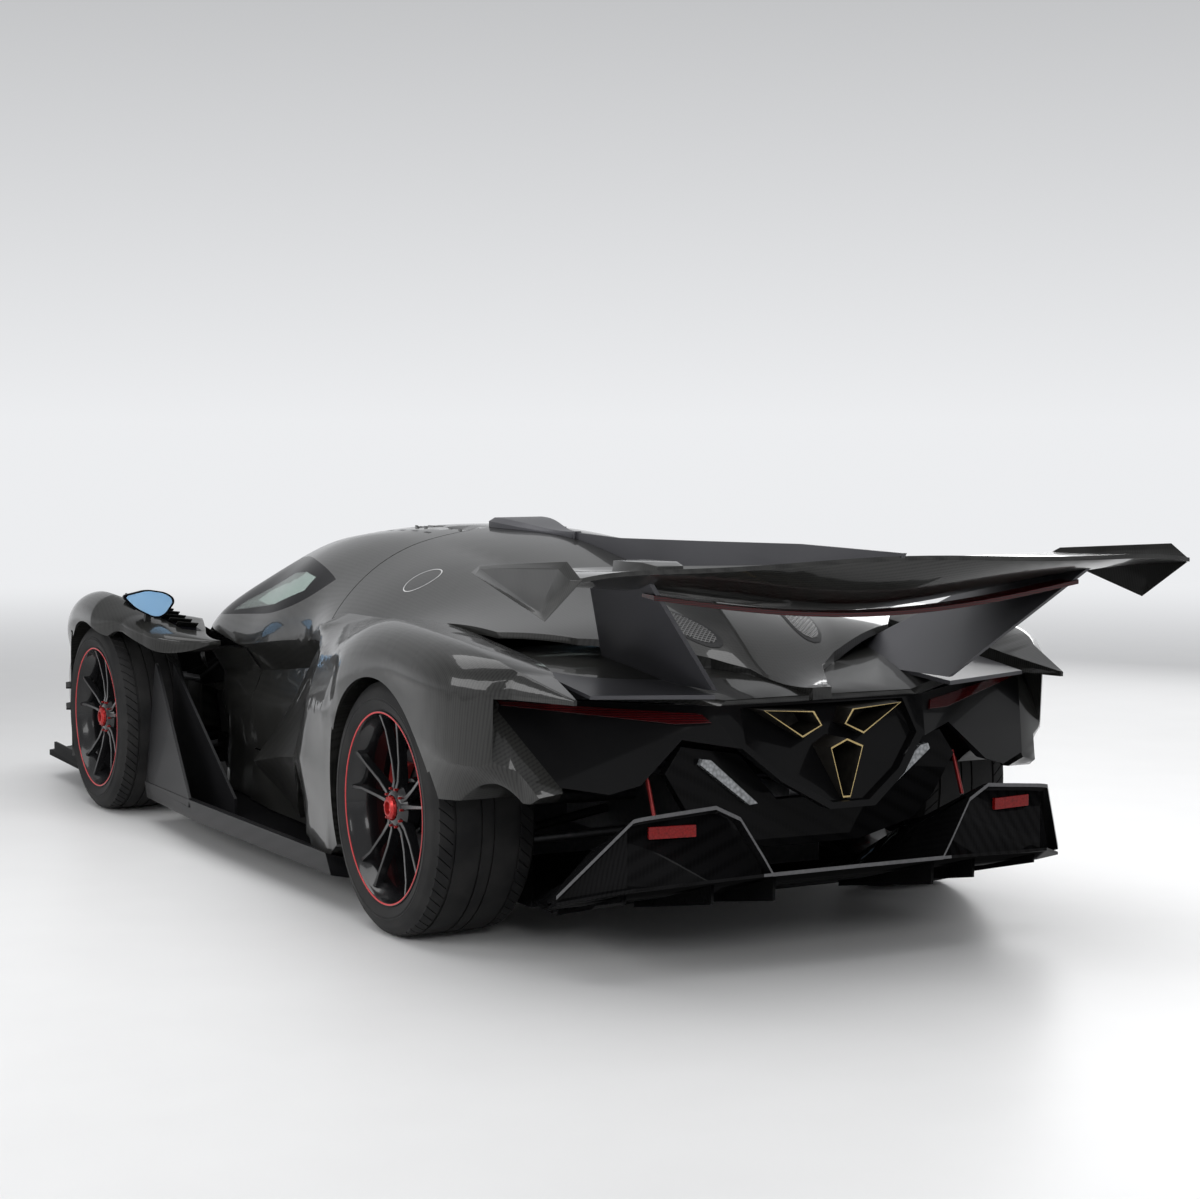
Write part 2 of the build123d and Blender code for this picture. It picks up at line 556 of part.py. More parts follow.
# ---------------------------------------------------------------- tail
# Fascia: front-view outline (x, z) of the left half, cut from the swept rear face
FASCIA_THICK = 45.0
fascia_half = [(72, 424), (198, 500), (290, 588), (432, 612), (560, 500), (640, 478), (753, 497), (858, 690),
               (846, 712), (640, 712), (346, 697)]
fascia_view = fascia_half + [(-x, z) for x, z in reversed(fascia_half)]
fascia = common(tail_block(-FASCIA_THICK, -0.3, 380, 760), slab(fascia_view, at_y, 1700, 2500))
POCKET_DEPTH = 30.0
pocket_half = [(58, 440), (182, 512), (276, 600), (262, 690)]
pocket_view = pocket_half + [(-x, z) for x, z in reversed(pocket_half)]
pocket = common(tail_block(-FASCIA_THICK + 12, 50, 380, 760), slab(pocket_view, at_y, 1700, 2500))
fascia = cut(fascia, pocket)
fascia = cut(fascia, deck, engine_cover)
fascia_room = common(tail_block(-FASCIA_THICK, 60, 380, 760), slab(fascia_view, at_y, 1700, 2500))
rear_fender = cut(rear_fender, fascia_room)
save("rear_fender_left", rear_fender)
save("rear_fender_right", other_side(rear_fender))

# Tail lamps: slim blades under the fenders' tips
lamp_view = [(352, 655), (372, 678), (856, 716), (850, 704), (440, 652)]
lamp_zone = slab(lamp_view, at_y, 1700, 2500)
lamp = common(tail_block(0, 8, 500, 724), lamp_zone)
save("tail_lamps", lamp, other_side(lamp))

# Exhaust: three outlets of one star, thin tubes open to the rear
EXHAUST_WALL = 3.0
STAR_FRONT = 2075.0
OUTLET_REAR = {"left": 2196.0, "right": 2196.0, "low": 2262.0}
outlets = {  # front-view corners (x, z)
    "left": [(62, 676), (222, 686), (98, 606), (36, 636)],
    "right": [(-62, 676), (-36, 636), (-98, 606), (-222, 686)],
    "low": [(52, 584), (12, 446), (-12, 446), (-52, 584), (0, 606)],
}


def drawn_in(points, wall):
    """The same corners moved towards their middle by about wall."""
    mid_x = sum(p[0] for p in points) / len(points)
    mid_z = sum(p[1] for p in points) / len(points)
    reach = [((x - mid_x) ** 2 + (z - mid_z) ** 2) ** 0.5 for x, z in points]
    return [(mid_x + (x - mid_x) * (1 - 1.8 * wall / r), mid_z + (z - mid_z) * (1 - 1.8 * wall / r))
            for (x, z), r in zip(points, reach)]


star = []
filled = []
for name, corners in outlets.items():
    tube = slab(corners, at_y, STAR_FRONT, OUTLET_REAR[name])
    bore = slab(drawn_in(corners, EXHAUST_WALL), at_y, STAR_FRONT + 12, OUTLET_REAR[name] + 5)
    star.append(cut(tube, bore))
    filled.append(tube)
plate_star = slab([(150, 640), (40, 600), (20, 520), (-20, 520), (-40, 600), (-150, 640), (0, 660)], at_y,
                  STAR_FRONT - 8, STAR_FRONT + 0.5)
exhaust = join(plate_star, *star)
save("exhaust", exhaust)
fascia = cut(fascia, plate_star, *filled)
save("tail_fascia", fascia)

# Carrier panel behind the fascia, with the two slanted lamps
CARRIER_Y = 2100.0
CARRIER_THICK = 30.0
carrier_half = [(150, 300), (330, 345), (400, 410), (470, 520), (420, 590), (240, 560), (120, 430)]
carrier = slab(carrier_half + [(-x, z) for x, z in reversed(carrier_half)], at_y,
               CARRIER_Y - CARRIER_THICK, CARRIER_Y)
carrier = cut(carrier, fascia, plate_star, *filled)
save("tail_carrier", carrier)
fog_view = [(192, 425), (218, 422), (372, 540), (366, 556), (340, 552)]
fog = slab(fog_view, at_y, CARRIER_Y + 0.2, CARRIER_Y + 22)
fog = cut(fog, fascia)
save("rear_fog_lamps", fog, other_side(fog))

# ---------------------------------------------------------------- diffuser
# station y; keel half-width, keel z; tunnel inner x z; tunnel outer x z; foot x z
DIFFUSER = [
    (DIFFUSER_START + SEAT_GAP, 272, 112, 300, 116, 600, 116, 612, 112),
    (1780, 272, 122, 360, 190, 610, 190, 640, 120),
    (2060, 272, 190, 380, 345, 650, 345, 800, 205),
    (2340, 272, 280, 392, 478, 664, 468, 850, 300),
]
DIFFUSER_THICK = 10.0


def diffuser_section(row):
    keel_x, keel_z, in_x, in_z, out_x, out_z, foot_x, foot_z = row
    top = [(keel_x, keel_z), (in_x, in_z), (out_x, out_z), (foot_x, foot_z)]
    chain = [(-x, z) for x, z in reversed(top)] + top
    return chain + [(x, z - DIFFUSER_THICK) for x, z in reversed(chain)]


diffuser = skin([(row[0], diffuser_section(row[1:])) for row in DIFFUSER], at_y, ruled=True)
trim_plan = [(0, 2332), (300, 2326), (664, 2277), (831, 2123), (900, 1900), (1000, 1900), (1000, 2600), (0, 2600)]
trim = slab(trim_plan, at_z, 50, 600)
diffuser = cut(diffuser, trim, other_side(trim))
# The keel's plane carried outwards under both tunnels, and the panel that closes their rear
VANE_THICK = 8.0
vane = skin([(row[0], [(row[1] - 5, row[2] - VANE_THICK - 1), (row[7], row[2] - VANE_THICK - 1),
                       (row[7], row[2] - 1), (row[1] - 5, row[2] - 1)]) for row in DIFFUSER[1:]], at_y, ruled=True)
vane = cut(vane, trim)
PANEL_THICK = 9.0
PANEL_LINE = [(290, 2296), (664, 2245), (815, 2100), (872, 1930)]   # plan line of its rear face
panel_plan = PANEL_LINE + [(x - PANEL_THICK, y - PANEL_THICK) for x, y in reversed(PANEL_LINE)]
tunnel_room = skin([(row[0], [(row[1], row[2] - 5), (row[3], row[4] - 5), (row[5], row[6] - 5),
                              (row[7], max(row[8] - 5, row[2] + 5)), (row[7], row[2] - 5)]) for row in DIFFUSER[1:]],
                   at_y, ruled=True)
panel = common(tunnel_room, slab(panel_plan, at_z, 50, 600))
above = skin([(row[0], [(0, row[2] - 4), (row[7] + 50, row[2] - 4), (row[7] + 50, 700), (0, 700)])
              for row in DIFFUSER], at_y, ruled=True)
FIN_FRONT = 1850.0
STRAKES = [(250, 2300, 195), (416, 2262, 194), (655, 2222, 209)]   # x; rear end y; low z
strakes = [cut(slab([(FIN_FRONT, 118), (rear, low_z), (rear + 8, 330), (FIN_FRONT, 150)], at_x, x, x + 8), above)
           for x, rear, low_z in STRAKES]
half = [vane, panel] + strakes
diffuser = join(diffuser, *half, *[other_side(piece) for piece in half])
diffuser = cut(diffuser, rear_well, other_side(rear_well))
save("diffuser", diffuser)

# Reflectors on the panels
REFLECTOR_Z = (380.0, 412.0)
reflector = slab([(476, 2262), (607, 2244), (610, 2262), (479, 2281)], at_z, *REFLECTOR_Z)
reflector = cut(reflector, diffuser)
save("rear_reflectors", reflector, other_side(reflector))

# ---------------------------------------------------------------- front bumper and lamps
# station y; half-width; low z; high z
BUMPER_FRONT = NOSE_Y + 70
bumper_rows = [(BUMPER_FRONT, 636, 300), (-2200, 598, 420), (-1800, 578, 460)]   # station y; half-width; top z
bumper = skin([(y, [(half, FLOOR_TOP), (half, top), (-half, top), (-half, FLOOR_TOP)])
               for y, half, top in bumper_rows], at_y, ruled=True)
bumper = cut(bumper, front_fender, other_side(front_fender))
bumper = cut(bumper, nose)
INTAKE_DEPTH = 220.0
for low_x, high_x in ((60, 295), (365, 530)):
    intake = block(low_x, high_x, NOSE_Y, BUMPER_FRONT + INTAKE_DEPTH, FLOOR_TOP + 22, 262)
    bumper = cut(bumper, intake, other_side(intake))
canards = [cut(slab([(780, -2400), (846, -2360), (908, -2160), (850, -2120)], at_z, low, low + 6), front_fender)
           for low in (286, 372)]
TOW_X = 330.0
TOW_Z = 186.0
TOW_RADIUS = 9.0
TOW_DEPTH = 60.0
bumper = cut(bumper, rod((TOW_X, BUMPER_FRONT - 1, TOW_Z), (TOW_X, BUMPER_FRONT + TOW_DEPTH, TOW_Z), TOW_RADIUS))
save("front_bumper", bumper)
save("canards", *canards, *[other_side(canard) for canard in canards])

# ---------------------------------------------------------------- side skirts
# Blade along the floor's edge with two upright fins behind the front wheel
skirt = skin([(-942, [(881, 92), (894, 92), (902, 152), (881, 152)]),
              (-308, [(881, 92), (936, 96), (950, 169), (881, 150)]),
              (926, [(881, 92), (942, 104), (960, 174), (881, 150)])], at_y, ruled=True)
FIN_THICK = 10.0
fin_a = skin([(-940, [(886, 140), (898, 140), (856, 590), (846, 590)]),
              (-330, [(936, 140), (948, 140), (947, 172), (937, 172)])], at_y, ruled=True)
fin_b = skin([(-935, [(790, 110), (800, 110), (790, 575), (780, 575)]),
              (-257, [(800, 110), (810, 110), (810, 170), (800, 170)])], at_y, ruled=True)
fin_b = cut(fin_b, block(0, HALF_WIDTH, -1000, 0, 0, FLOOR_TOP), front_fender)
skirt = join(skirt, fin_a)
skirt = cut(skirt, front_fender, rear_fender)
save("side_skirts", skirt, other_side(skirt))
save("skirt_fins", fin_b, other_side(fin_b))

# ---------------------------------------------------------------- mirrors
STALK = ((872, -930, 700), (872, -985, 772))
mirror = skin([(-1075, [(842, 790), (872, 765), (905, 782), (900, 806), (862, 814)]),
               (-1010, [(792, 800), (872, 748), (952, 790), (934, 822), (850, 836)]),
               (-985, [(786, 804), (872, 744), (958, 796), (938, 826), (848, 840)])], at_y, ruled=True)
stalk = rod(*STALK, 11)
mirror = join(mirror, stalk)
mirror = cut(mirror, front_fender)
save("mirrors", mirror, other_side(mirror))

# ---------------------------------------------------------------- wheels
# Built on the left at the axle's height, spinning about X; the right wheel is the mirror image.
SPOKES = 5
RIM_DEPTH = 18.0           # spokes stand in from the tyre's side wall
RIM_WALL = 12.0
HUB_RADIUS = 62.0
HUB_REACH = 46.0
DISC_RADIUS_FRONT = 195.0
DISC_RADIUS_REAR = 200.0
DISC_THICK = 34.0
SPINDLE_RADIUS = 28.0      # stub axle of the knuckle, in the wheel's bore
SPINDLE_SHORT = 34.0       # it ends this far behind the hub's face
SPINDLE_ROOM = 4.0


def turned(points, axle_y, axle_z):
    """A ring turned about the axle from (x, radius) points."""
    face = Face(ring(points, lambda u, v, s: (u, s, v), 0))
    return Solid.revolve(face, 360, Axis((0, 0, 0), (1, 0, 0))).moved(Location((0, axle_y, axle_z)))


def tyre_solid(face_x, width, radius, rim_radius, axle_y):
    round_x, round_r = 30.0, 26.0
    out, back = face_x, face_x - width
    profile = [(back + 12, rim_radius), (back, rim_radius + 30), (back, radius - 50),
               (back + round_x * 0.3, radius - round_r * 0.7, 0), (back + round_x + 12, radius - 3),
               (back + width / 2, radius), (out - round_x - 12, radius - 3),
               (out - round_x * 0.3, radius - round_r * 0.7, 0), (out, radius - 50),
               (out, rim_radius + 30), (out - 12, rim_radius)]
    return turned([p for p in profile], axle_y, radius)


def wheel_solid(face_x, width, radius, rim_radius, disc_radius, axle_y):
    out, back = face_x - 8, face_x - width + 8
    r = rim_radius - SEAT_GAP
    barrel = turned([(back, r - RIM_WALL), (back, r), (out, r), (out, r - 10), (out - 12, r - RIM_WALL)], 0, 0)
    hub_face = face_x - RIM_DEPTH - 10
    hub = turned([(hub_face - HUB_REACH - 50, 0), (hub_face - HUB_REACH - 50, HUB_RADIUS + 14),
                  (hub_face - HUB_REACH, HUB_RADIUS + 6), (hub_face - 6, HUB_RADIUS - 20),
                  (hub_face + 4, 34), (hub_face + 4, 0)], 0, 0)
    pieces = [barrel, hub]
    for k in range(SPOKES):
        turn = 360.0 / SPOKES * k
        for lean in (-1, 1):
            plan = [(-13 + lean * 8, 40), (13 + lean * 8, 40), (lean * 52 + 9, r - 11), (lean * 52 - 9, r - 11)]
            spoke = skin([(hub_face - HUB_REACH, plan), (hub_face + 4, [(p[0] * 0.9, p[1]) for p in plan])],
                         lambda u, v, s: (s, u, v), ruled=True)
            pieces.append(spoke.rotate(Axis.X, turn))
    disc_x = face_x - width / 2 - 4
    disc = turned([(disc_x - DISC_THICK / 2, 0), (disc_x - DISC_THICK / 2, disc_radius),
                   (disc_x + DISC_THICK / 2, disc_radius), (disc_x + DISC_THICK / 2, 0)], 0, 0)
    neck = turned([(disc_x, 0), (disc_x, 78), (hub_face - HUB_REACH - 40, 78), (hub_face - HUB_REACH - 40, 0)], 0, 0)
    made = join(barrel, hub, disc, neck, *pieces[2:])
    bore_end = hub_face - SPINDLE_SHORT + SPINDLE_ROOM
    made = cut(made, rod((disc_x - DISC_THICK, 0, 0), (bore_end, 0, 0), SPINDLE_RADIUS + SEAT_GAP))
    return made.moved(Location((0, axle_y, radius)))


for place, face_x, width, radius, rim_radius, disc_radius, axle_y in (
        ("front", FRONT_TYRE_FACE, FRONT_TYRE_WIDTH, FRONT_TYRE_RADIUS, FRONT_RIM_RADIUS, DISC_RADIUS_FRONT, FRONT_AXLE),
        ("rear", REAR_TYRE_FACE, REAR_TYRE_WIDTH, REAR_TYRE_RADIUS, REAR_RIM_RADIUS, DISC_RADIUS_REAR, REAR_AXLE)):
    tyre = tyre_solid(face_x, width, radius, rim_radius, axle_y)
    wheel = wheel_solid(face_x, width, radius, rim_radius, disc_radius, axle_y)
    save(f"tyre_{place}_left", tyre)
    save(f"tyre_{place}_right", other_side(tyre))
    save(f"wheel_{place}_left", wheel)
    save(f"wheel_{place}_right", other_side(wheel))

# ---------------------------------------------------------------- knuckles, calipers and wishbones
KNUCKLE_GAP = 8.0
UPRIGHT_REACH = 120.0      # the upright above and below the axle
KINGPIN_REACH = 150.0      # and the ball joint seats beyond it
KINGPIN_RADIUS = 20.0


def knuckle_solid(face_x, width, radius, disc_radius, axle_y, caliper_side):
    """Upright inboard of the disc, carrying the caliper over the disc's edge."""
    disc_x = face_x - width / 2 - 4
    inner_face = disc_x - DISC_THICK / 2 - KNUCKLE_GAP
    upright = block(inner_face - 50, inner_face, axle_y - 55, axle_y + 55, radius - UPRIGHT_REACH,
                    radius + UPRIGHT_REACH)
    spindle = rod((inner_face - 1, axle_y, radius), (face_x - RIM_DEPTH - 10 - SPINDLE_SHORT, axle_y, radius),
                  SPINDLE_RADIUS)
    kingpin = rod((inner_face - 25, axle_y, radius - KINGPIN_REACH), (inner_face - 25, axle_y, radius + KINGPIN_REACH),
                  KINGPIN_RADIUS)
    stub = rod((inner_face - 70, axle_y, radius), (inner_face, axle_y, radius), 70)
    low_r, high_r = disc_radius - 70, disc_radius + 22
    left = disc_x - DISC_THICK / 2 - 28
    right = disc_x + DISC_THICK / 2 + 28
    ring_out = rod((left, 0, 0), (right, 0, 0), high_r)
    ring_in = rod((left - 1, 0, 0), (right + 1, 0, 0), low_r)
    disc_room = rod((disc_x - DISC_THICK / 2 - 6, 0, 0), (disc_x + DISC_THICK / 2 + 6, 0, 0), disc_radius + 6)
    caliper = ring_out.cut(ring_in)
    wedge = block(left - 2, right + 2, 0, 400, -110, 110)
    caliper = common(caliper, wedge).cut(disc_room)
    caliper = whole(caliper)[0]
    if caliper_side < 0:
        caliper = caliper.mirror(Plane.XZ)
    caliper = caliper.moved(Location((0, axle_y, radius)))
    arm = block(inner_face - 40, inner_face - 2, min(axle_y, axle_y + caliper_side * 190),
                max(axle_y, axle_y + caliper_side * 190), radius - 45, radius + 45)
    return join(upright, stub, arm, caliper, spindle, kingpin)


knuckle = knuckle_solid(FRONT_TYRE_FACE, FRONT_TYRE_WIDTH, FRONT_TYRE_RADIUS, DISC_RADIUS_FRONT, FRONT_AXLE, 1)
save("knuckle_front_left", knuckle)
save("knuckle_front_right", other_side(knuckle))
rear_knuckle = knuckle_solid(REAR_TYRE_FACE, REAR_TYRE_WIDTH, REAR_TYRE_RADIUS, DISC_RADIUS_REAR, REAR_AXLE, -1)
save("knuckles_rear", rear_knuckle, other_side(rear_knuckle))


KINGPIN_X = FRONT_TYRE_FACE - FRONT_TYRE_WIDTH / 2 - 4 - DISC_THICK / 2 - KNUCKLE_GAP - 25
BALL_REACH = 172.0         # arm ends above and below the axle
arms = []
ARM_ROOT_FRONT = 330.0
for height in (-BALL_REACH, BALL_REACH):
    way_up = 1 if height > 0 else -1
    ball = (KINGPIN_X, FRONT_AXLE, FRONT_TYRE_RADIUS + height)
    eye = rod((KINGPIN_X, FRONT_AXLE, FRONT_TYRE_RADIUS + way_up * (KINGPIN_REACH + SEAT_GAP)),
              (KINGPIN_X, FRONT_AXLE, FRONT_TYRE_RADIUS + height + way_up * 14), KINGPIN_RADIUS + 2)
    legs = [rod((ARM_ROOT_FRONT, FRONT_AXLE + way * 150 - 60, FRONT_TYRE_RADIUS + height * 0.5), ball, 13)
            for way in (-1, 1)]
    arms.append(cut(join(*legs, eye), nose, tub, roof_frame))
save("front_wishbones", *arms, *[other_side(a) for a in arms])

# ---------------------------------------------------------------- engine and gearbox
ENGINE_HALF = 270.0
ENGINE_Y = (TUB_BACK + SEAT_GAP, 930.0)
ENGINE_TOP = 690.0
GEARBOX_HALF = 150.0
GEARBOX_BACK = 1900.0
engine = join(block(-ENGINE_HALF, ENGINE_HALF, *ENGINE_Y, FLOOR_TOP, ENGINE_TOP),
              block(-GEARBOX_HALF, GEARBOX_HALF, ENGINE_Y[1] - 1, GEARBOX_BACK, 210, 470),
              block(-60, 60, GEARBOX_BACK - 1, CARRIER_Y - CARRIER_THICK, 400, 460))
save("engine", engine)

rear_arms = []
rear_inner = REAR_TYRE_FACE - REAR_TYRE_WIDTH / 2 - 4 - DISC_THICK / 2 - KNUCKLE_GAP
for height in (-130.0, 130.0):
    ball = (rear_inner - 50, REAR_AXLE, REAR_TYRE_RADIUS + height)
    legs = [rod((GEARBOX_HALF - 5, REAR_AXLE + way * 190 + 20, REAR_TYRE_RADIUS + height * 0.6), ball, 14)
            for way in (-1, 1)]
    rear_arms.append(cut(join(*legs), engine, rear_knuckle))
shaft = cut(rod((GEARBOX_HALF - 5, REAR_AXLE, REAR_TYRE_RADIUS - 10), (rear_inner - 60, REAR_AXLE, REAR_TYRE_RADIUS), 22),
            engine, rear_knuckle)
save("rear_wishbones", *rear_arms, shaft, *[other_side(a) for a in rear_arms], other_side(shaft))

# ---------------------------------------------------------------- cabin
SEAT_INNER = 112.0
SEAT_OUTER = 455.0
CABIN_FLOOR = FLOOR_TOP + 30
seat_side = [(-470, CABIN_FLOOR + SEAT_GAP), (-480, 255), (-380, 262), (-120, 215), (90, 800), (150, 850), (215, 815),
             (190, 700), (20, CABIN_FLOOR + SEAT_GAP)]
seat = slab(seat_side, at_x, SEAT_INNER, SEAT_OUTER)
seat = cut(seat, slab([(-490, 235), (-380, 240), (-118, 195), (-118, 300), (-490, 300)], at_x,
                      SEAT_INNER + 55, SEAT_OUTER - 55))
save("seats", seat, other_side(seat))

DASH_BACK = -820.0
dash = slab([(TUB_FRONT + BULKHEAD, 430), (TUB_FRONT + BULKHEAD, 640), (-900, 660), (DASH_BACK, 610), (-860, 480)],
            at_x, -470, 470)
WHEEL_CENTRE = (290.0, -690.0, 640.0)
column = rod((290, DASH_BACK - 20, 590), WHEEL_CENTRE, 24)
steering_wheel = Solid.make_torus(160, 15, Plane(origin=WHEEL_CENTRE, z_dir=(0, 0.94, 0.34)))
spokes = [rod((290 - 155, -690, 640), (290 + 155, -690, 640), 11)]
dash = join(dash, column, *spokes, steering_wheel)
save("cockpit", dash)
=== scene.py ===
"""Mid-engined two-seat hypercar in exposed carbon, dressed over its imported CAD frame."""
import math

import bmesh
import bpy
from mathutils import Matrix, Vector
from mathutils.bvhtree import BVHTree


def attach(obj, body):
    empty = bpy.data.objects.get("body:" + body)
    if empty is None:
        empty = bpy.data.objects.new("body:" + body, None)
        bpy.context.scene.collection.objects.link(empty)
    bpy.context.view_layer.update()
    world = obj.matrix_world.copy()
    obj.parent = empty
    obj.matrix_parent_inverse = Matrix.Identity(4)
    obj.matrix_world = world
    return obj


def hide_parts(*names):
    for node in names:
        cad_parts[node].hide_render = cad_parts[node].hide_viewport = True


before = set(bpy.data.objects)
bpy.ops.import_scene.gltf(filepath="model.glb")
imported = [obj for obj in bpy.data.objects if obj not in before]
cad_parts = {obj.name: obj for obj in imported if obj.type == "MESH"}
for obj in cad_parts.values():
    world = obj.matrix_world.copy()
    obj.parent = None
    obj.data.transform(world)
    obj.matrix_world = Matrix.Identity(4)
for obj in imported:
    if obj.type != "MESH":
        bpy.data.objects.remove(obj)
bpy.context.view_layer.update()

# ---------------------------------------------------------------- studio
# A pale seamless studio: one wide painted floor that meets a white room, lit by
# large soft panels overhead and at the sides.
FLOOR_REACH = 60.0


def new_finish(name):
    """An empty node material and its shader."""
    finish = bpy.data.materials.new(name)
    finish.use_nodes = True
    return finish, finish.node_tree, finish.node_tree.nodes["Principled BSDF"]


def node(tree, kind, inputs=None, **settings):
    made = tree.nodes.new(kind)
    for key, value in settings.items():
        setattr(made, key, value)
    for key, value in (inputs or {}).items():
        if isinstance(value, bpy.types.NodeSocket):
            tree.links.new(value, made.inputs[key])
        else:
            made.inputs[key].default_value = value
    return made


def piece(name, bm, finishes, body, replaces=None, smooth=35.0):
    """A bmesh made into a finished piece that rides on a body."""
    mesh = bpy.data.meshes.new(name)
    for face in bm.faces:
        face.smooth = True
    bm.to_mesh(mesh)
    bm.free()
    mesh.set_sharp_from_angle(angle=math.radians(smooth))
    made = bpy.data.objects.new(name, mesh)
    bpy.context.collection.objects.link(made)
    for finish in (finishes if isinstance(finishes, (list, tuple)) else [finishes]):
        mesh.materials.append(finish)
    if body:
        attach(made, body)
    if replaces:
        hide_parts(replaces)
    return made


def seen_rays(tree):
    """1 for rays that show a surface to the camera, straight, mirrored or through glass."""
    rays = node(tree, "ShaderNodeLightPath")
    shown = node(tree, "ShaderNodeMath", {0: rays.outputs["Is Camera Ray"], 1: rays.outputs["Is Glossy Ray"]},
                 operation="MAXIMUM")
    shown = node(tree, "ShaderNodeMath", {0: shown.outputs[0], 1: rays.outputs["Is Transmission Ray"]},
                 operation="MAXIMUM")
    return shown.outputs[0]


PALE = (0.97, 0.98, 1.0, 1.0)       # colour of the room
PALE_STRENGTH = 0.87                # how bright the room is at the floor line
floor_paint, tree, shader = new_finish("studio_floor")
place = node(tree, "ShaderNodeTexCoord")
speckle = node(tree, "ShaderNodeTexNoise", {"Vector": place.outputs["Object"], "Scale": 3.0, "Detail": 2.0})
tone = node(tree, "ShaderNodeMapRange", {"Value": speckle.outputs["Fac"], "To Min": 0.70, "To Max": 0.74})
tree.links.new(tone.outputs["Result"], shader.inputs["Base Color"])
shader.inputs["Roughness"].default_value = 0.42
reach = node(tree, "ShaderNodeVectorMath", {0: place.outputs["Object"]}, operation="LENGTH")
far = node(tree, "ShaderNodeMapRange", {"Value": reach.outputs["Value"], "From Min": 4.0, "From Max": 15.0},
           interpolation_type="SMOOTHSTEP")
fade = node(tree, "ShaderNodeMath", {0: far.outputs["Result"], 1: seen_rays(tree)}, operation="MULTIPLY")
pale = node(tree, "ShaderNodeEmission", {"Color": PALE, "Strength": PALE_STRENGTH})
blend = node(tree, "ShaderNodeMixShader", {0: fade.outputs[0], 1: shader.outputs[0], 2: pale.outputs[0]})
tree.links.new(blend.outputs[0], tree.nodes["Material Output"].inputs["Surface"])
bm = bmesh.new()
bmesh.ops.create_grid(bm, x_segments=2, y_segments=2, size=FLOOR_REACH)
studio_floor = piece("studio_floor", bm, floor_paint, None)

world = bpy.data.worlds.new("studio")
bpy.context.scene.world = world
world.use_nodes = True
room = world.node_tree
back = room.nodes["Background"]
sky = node(room, "ShaderNodeTexCoord")
height = node(room, "ShaderNodeSeparateXYZ", {0: sky.outputs["Generated"]})
ramp = node(room, "ShaderNodeMapRange", {"Value": height.outputs["Z"], "From Min": 0.0, "From Max": 0.17,
                                         "To Min": PALE_STRENGTH, "To Max": 0.55})
strength = node(room, "ShaderNodeMix", {"Factor": seen_rays(room), "A": 0.5, "B": ramp.outputs["Result"]})
room.links.new(strength.outputs["Result"], back.inputs["Strength"])
back.inputs["Color"].default_value = PALE

for name, size, spot, aim, power in (("panel_over", (7.0, 4.0), (0.5, 0.8, 5.2), (0, 0.3, 0), 230),
                                     ("panel_left", (5.0, 2.2), (6.2, 1.5, 2.8), (0, 0.4, 0.6), 150),
                                     ("panel_right", (5.0, 2.2), (-6.0, -2.6, 2.6), (0, 0, 0.6), 110),
                                     ("panel_rear", (4.0, 1.6), (1.2, 7.6, 3.4), (0, 1.6, 0.6), 90)):
    lamp = bpy.data.lights.new(name, "AREA")
    lamp.shape = "RECTANGLE"
    lamp.size, lamp.size_y = size
    lamp.energy = power
    held = bpy.data.objects.new(name, lamp)
    bpy.context.collection.objects.link(held)
    held.location = spot
    held.rotation_euler = (Vector(aim) - Vector(spot)).to_track_quat("-Z", "Y").to_euler()

eye = bpy.data.cameras.new("camera")
eye.sensor_width = 36.0
eye.lens = 76.32
camera = bpy.data.objects.new("camera", eye)
bpy.context.collection.objects.link(camera)
camera.location = (3.7949, 7.9066, 1.4550)
camera.rotation_euler = (math.radians(85.97743), math.radians(0.047), math.radians(151.66588))
bpy.context.scene.camera = camera
bpy.context.scene.view_settings.view_transform = "Standard"

# ---------------------------------------------------------------- exposed-carbon bodywork
# Moulded panels of woven carbon under a thick clear coat. The cloth is a two-by-two twill,
# its tows catching the light as fine lines; edges are rounded by hand before lacquering.
TOW = 0.0036               # width of one tow of the cloth
WAVES = 0.314              # scale at which a wave texture repeats once a metre


def texture(tree, kind, scale, detail=None, **settings):
    """The output of a texture laid on the object's own coordinates."""
    place = node(tree, "ShaderNodeTexCoord")
    inputs = {"Vector": place.outputs["Object"], "Scale": scale}
    if detail is not None:
        inputs["Detail"] = detail
    made = node(tree, "ShaderNodeTex" + kind, inputs, **settings)
    return made.outputs["Distance" if kind == "Voronoi" else "Fac"]


def coloured(tree, shader, value, dark, light, ends=(0.0, 1.0)):
    """Colours a shader from dark to light as a value goes from one end to the other."""
    tint = node(tree, "ShaderNodeValToRGB", {"Fac": value})
    for stop, colour, end in zip(tint.color_ramp.elements, (dark, light), ends):
        stop.color = (*colour, 1)
        stop.position = end
    tree.links.new(tint.outputs["Color"], shader.inputs["Base Color"])


def embossed(tree, shader, value, strength, depth):
    """Raises a fine relief from a value."""
    bump = node(tree, "ShaderNodeBump", {"Height": value, "Strength": strength, "Distance": depth})
    tree.links.new(bump.outputs["Normal"], shader.inputs["Normal"])


def mottled(name, pattern, dark, light, constants, ends=(0.0, 1.0), rough=None, relief=None, **settings):
    """A finish that drifts from dark to light over a texture, as can its roughness.

    pattern is a kind of texture, its scale and its detail. relief is another such pattern,
    with the strength and depth of the relief that it raises.
    """
    finish, tree, shader = new_finish(name)
    drift = texture(tree, *pattern, **settings)
    coloured(tree, shader, drift, dark, light, ends)
    for socket, value in constants.items():
        shader.inputs[socket].default_value = value
    if rough:
        rub = node(tree, "ShaderNodeMapRange", {"Value": drift, "To Min": rough[0], "To Max": rough[1]})
        tree.links.new(rub.outputs["Result"], shader.inputs["Roughness"])
    if relief:
        grain, strength, depth = relief
        embossed(tree, shader, texture(tree, *grain), strength, depth)
    return finish


